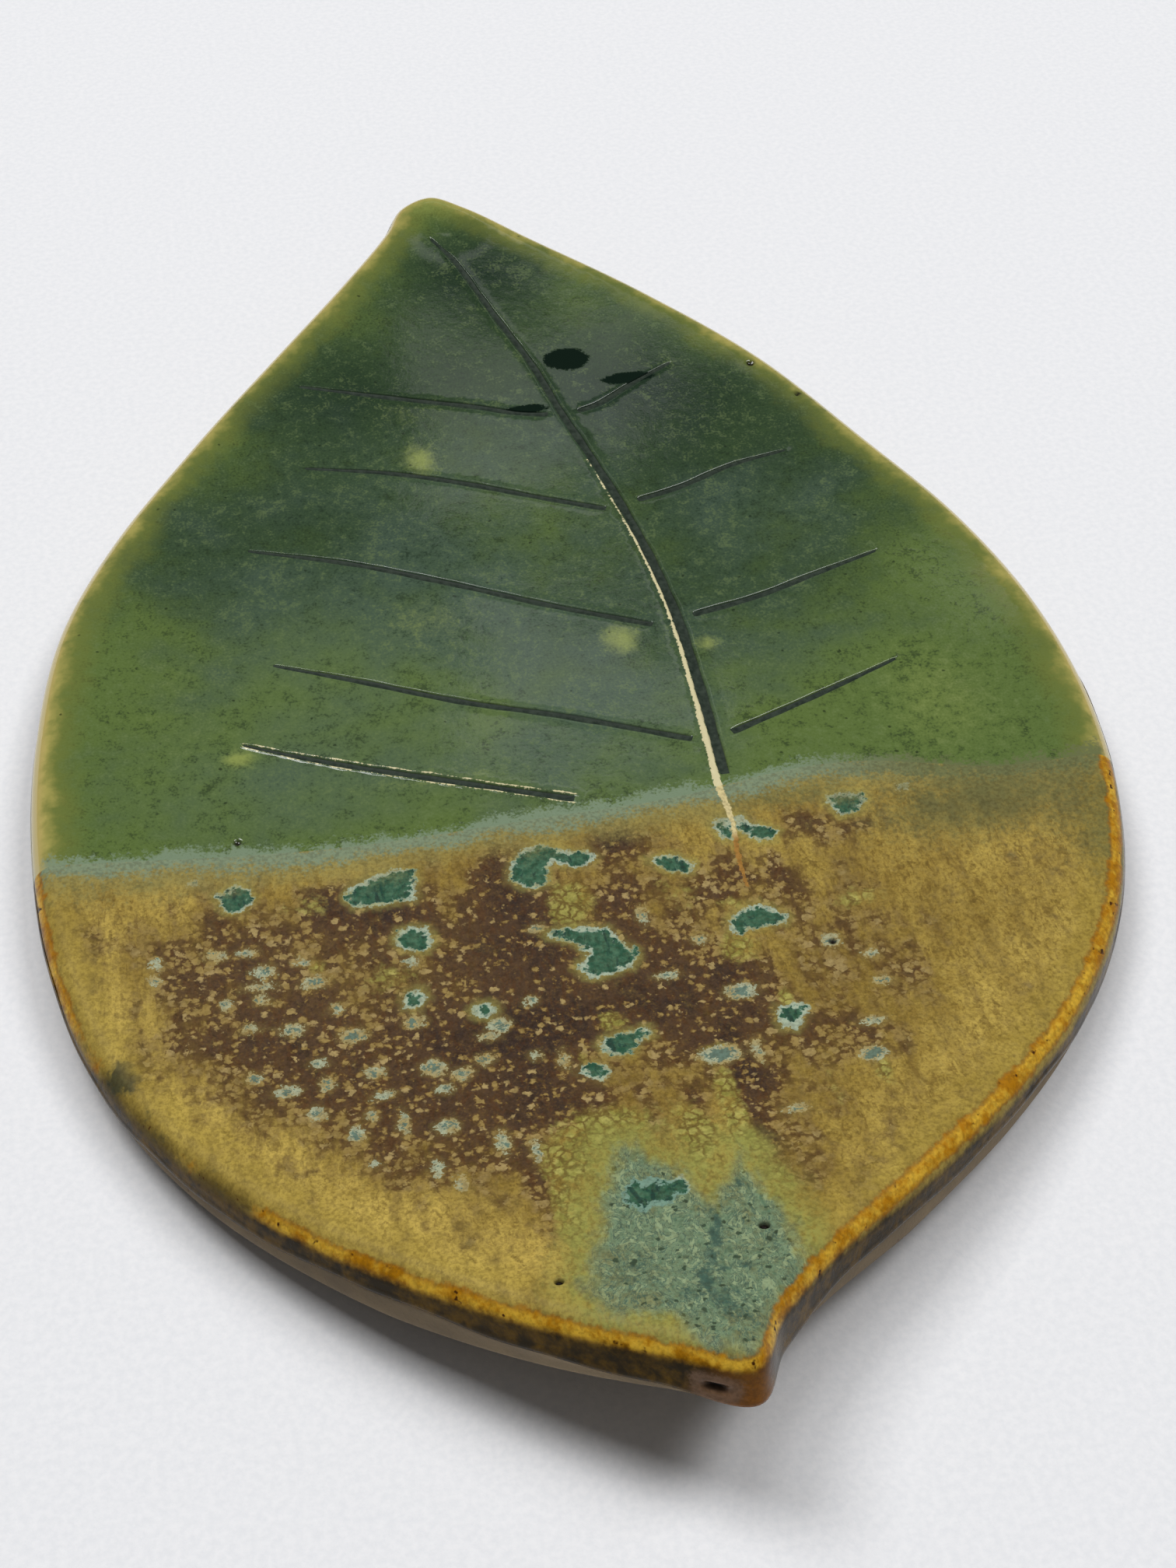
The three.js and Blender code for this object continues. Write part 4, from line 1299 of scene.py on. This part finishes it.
def amber_borders(p, colour):
    """Tan band and grey veil beside the seam, the seam's own band and the burr over it."""
    seam_at = p.field("seam")
    band = p.uneven(seam_at, small=2.2, grain=2.0, broad=3.0, middle=2.0)
    colour = p.lay(colour, (146, 136, 78), band, -7.0, -2.0, 0.75)
    veil = p.uneven(p.field("veil"), small=0.35, grain=0.4, middle=0.3)
    colour = p.lay(colour, (98, 100, 62), veil, 0.15, 0.9, 0.75)
    colour = seam_band(p, colour)
    cream = p.lay((164, 120, 58), (216, 200, 146), seam_at, -9.5, -7.5)
    return burr_flakes(p, colour, cream)


def amber_rim(p, colour):
    """Amber crest with nicks, a dark smear on the left, the olive wall and the red-brown end of the stem."""
    edge_at = p.field("edge")
    smear = p.uneven(p.field("smear"), middle=0.3, small=0.2)
    streak = p.uneven(p.noises["middle"], small=0.3)
    below = p.step(p.along(0), 0.0, 0.03, 1.1, -0.2)
    crest = p.uneven(p.maths("ABSOLUTE", p.sum(edge_at, below)), small=0.7, middle=0.9)
    amber = p.lay((176, 120, 14), (222, 178, 58), streak, 0.35, 0.65)
    plain = p.step(smear, 0.15, 0.5, 1.0, 0.0)
    colour = p.blend(p.times(p.step(crest, 0.8, 1.4, 0.8, 0.0), plain), colour, (142, 86, 20))
    colour = p.blend(p.times(p.step(crest, 0.5, 1.2, 0.95, 0.0), plain), colour, amber)
    dark = p.times(p.step(edge_at, 0.5, 4.5, 1.0, 0.0), p.step(smear, 0.65, 0.85, 0.0, 0.85))
    brown = p.times(p.step(edge_at, -1.4, 1.4, 0.9, 0.0), p.step(smear, 0.3, 0.6))
    colour = p.blend(brown, colour, (86, 70, 32))
    colour = p.blend(dark, colour, (52, 58, 44))
    nick = p.times(p.step(crest, 0.4, 1.2, 1.0, 0.0), p.step(p.noise(1.1, 2, shift=4.0), 0.64, 0.7))
    colour = p.blend(nick, colour, (70, 36, 10))
    wall = p.uneven(edge_at, small=0.5, middle=0.6)
    olive = p.lay((42, 31, 2), (100, 73, 5), streak, 0.35, 0.7)
    nose = p.step(p.along(1), -0.1115, -0.107, 1.0, 0.0)
    olive = p.blend(nose, olive, (136, 84, 24))
    halo = p.uneven(p.field("halo"), small=0.4, grain=0.3)
    olive = p.lay(olive, (132, 104, 82), halo, 0.1, 0.7, 0.8)
    return p.lay(colour, olive, wall, -1.0, -2.2), wall


def amber_glaze():
    """The tan and brown glaze: each function above lays one of its effects over the colour so far."""
    p = Paint("amber_glaze_paint", broad=14, middle=3.2, small=0.9, grain=0.3)
    p.flow = p.noise(2.6, 4, 0.6, 0.4, 2.0, (1.0, 0.22, 1.0))
    p.fibre = p.noise(0.8, 3, 0.6, 1.0, 5.0, (1.0, 0.45, 1.0))
    p.yellow = p.sum(p.uneven(p.field("glow"), middle=0.4, small=0.3), p.about(p.flow, 0.4))
    colour, pebble = amber_net(p)
    near_edge = p.uneven(p.field("edge"), middle=4.0, small=2.0)
    colour = p.lay(colour, (166, 144, 62), near_edge, 7.0, 1.5, 0.5)
    colour = amber_spots(p, amber_flakes(p, amber_turquoise(p, colour)))
    colour, wall = amber_rim(p, amber_borders(p, colour))
    colour = p.lay(colour, (50, 36, 14), p.noise(0.45, 3, shift=3.0), 0.6, 0.35, 0.3)
    # Painted shade in the pits and in the slot at the stem's end
    colour = p.blend(p.field("pit_shade"), colour, (20, 14, 8))
    roughness = p.step(p.uneven(p.noises["small"], grain=0.3), 0.2, 0.8, 0.36, 0.54)
    roughness = p.times(roughness, p.step(wall, -1.8, 0.4, 0.35, 1.0))
    soft = p.noise(3.5, 2)
    p.relief(p.sum(p.uneven(soft, small=0.25), p.times(pebble, 0.2)), 0.05)
    return p.done(colour, roughness, 0.09)


def vein_glaze():
    p = Paint("vein_glaze_paint", small=0.8)
    colour = p.lay((32, 42, 34), (56, 66, 56), p.noises["small"], 0.3, 0.75)
    p.relief(p.noises["small"], 0.04)
    return p.done(colour, p.step(p.noises["small"], 0.2, 0.8, 0.4, 0.6), 0.15)


def bare_clay():
    p = Paint("bare_clay_paint", broad=30, middle=4, grain=0.4)
    colour = p.lay((112, 96, 72), (142, 124, 96), p.uneven(p.noises["broad"], middle=0.3), 0.25, 0.75)
    colour = p.lay(colour, (92, 78, 58), p.noises["grain"], 0.5, 0.8, 0.4)
    distance, chosen = p.cells(3.0, p.moved(1.0, 1.0))
    fleck = p.times(p.step(distance, 0.05, 0.11, 0.7, 0.0), p.step(chosen[0], 0.6, 0.65))
    colour = p.blend(fleck, colour, (84, 58, 44))
    p.relief(p.uneven(p.noises["middle"], grain=0.35), 0.12)
    return p.done(colour, p.step(p.noises["middle"], 0.2, 0.8, 0.75, 0.92))


coat_piece("green_glaze_coat_look", True, green_glaze())
coat_piece("amber_glaze_coat_look", False, amber_glaze())
slab_piece(bare_clay())
vein_paint = vein_glaze()
for vein in veins:
    fill_piece(vein, vein_paint)


# Floor, light and camera

FLOOR_SIZE = 4.0


def make_floor():
    half = FLOOR_SIZE / 2
    mesh = bpy.data.meshes.new("floor")
    corners = [(-half, -half, 0), (half, -half, 0), (half, half, 0), (-half, half, 0)]
    mesh.from_pydata(corners, [], [(0, 1, 2, 3)])
    floor = bpy.data.objects.new("floor", mesh)
    bpy.context.scene.collection.objects.link(floor)
    p = Paint("floor_paint", grain=0.9)
    colour = p.lay((234, 235, 238), (242, 242, 244), p.noises["grain"], 0.3, 0.7)
    p.relief(p.noises["grain"], 0.06)
    mesh.materials.append(p.done(colour, 0.8))


def aimed(obj, target):
    direction = Vector(target) - obj.location
    obj.rotation_euler = direction.to_track_quat("-Z", "Y").to_euler()
    bpy.context.scene.collection.objects.link(obj)
    return obj


# Lamps that face the origin: name, place, width, height, watts and whether gloss mirrors them.
# The overhead lamp is not mirrored, or from above the green would be one pale image of it.
LAMPS = [
    ("key", (-0.85, 0.85, 2.25), 1.0, 1.0, 28.0, True),
    ("right", (1.2, 0.0, 2.25), 1.0, 1.0, 25.0, True),
    ("overhead", (0.0, 0.44, 2.51), 1.0, 1.0, 13.0, False),
    ("window", (0.15, 0.91, 0.847), 0.13, 0.113, 0.033, True),
    ("window_side", (0.25, 0.91, 0.89), 0.07, 0.042, 0.007, True),
]


def softbox(name, place, width, height, watts, mirrored):
    lamp = bpy.data.lights.new(name, "AREA")
    lamp.shape = "RECTANGLE"
    lamp.size, lamp.size_y = width, height
    lamp.energy = watts
    obj = bpy.data.objects.new(name, lamp)
    obj.location = place
    obj.visible_glossy = mirrored
    aimed(obj, (0, 0, 0))


CAMERA_TARGET = (0.000613, -0.01948, 0.00792)
CAMERA_DISTANCE = 0.2885
CAMERA_AZIMUTH, CAMERA_ELEVATION = math.radians(-10.56), math.radians(45)
FOCAL_PIXELS, PHOTO_HEIGHT, SENSOR = 3000, 2016, 36.0
CLIP_START = 0.01
WORLD_COLOUR, WORLD_STRENGTH = (0.95, 0.97, 1.0, 1.0), 0.1


def make_camera():
    data = bpy.data.cameras.new("camera")
    data.sensor_width = SENSOR
    data.lens = SENSOR * FOCAL_PIXELS / PHOTO_HEIGHT
    data.clip_start = CLIP_START
    camera = bpy.data.objects.new("camera", data)
    level = math.cos(CAMERA_ELEVATION)
    back = Vector((
        math.sin(CAMERA_AZIMUTH) * level, -math.cos(CAMERA_AZIMUTH) * level, math.sin(CAMERA_ELEVATION)
    ))
    camera.location = Vector(CAMERA_TARGET) + back * CAMERA_DISTANCE
    bpy.context.scene.camera = aimed(camera, CAMERA_TARGET)


make_floor()
make_camera()
for lamp in LAMPS:
    softbox(*lamp)
world = bpy.data.worlds.new("studio")
bpy.context.scene.world = world
world.use_nodes = True
background = world.node_tree.nodes["Background"]
background.inputs["Color"].default_value = WORLD_COLOUR
background.inputs["Strength"].default_value = WORLD_STRENGTH
bpy.context.scene.view_settings.view_transform = "Standard"
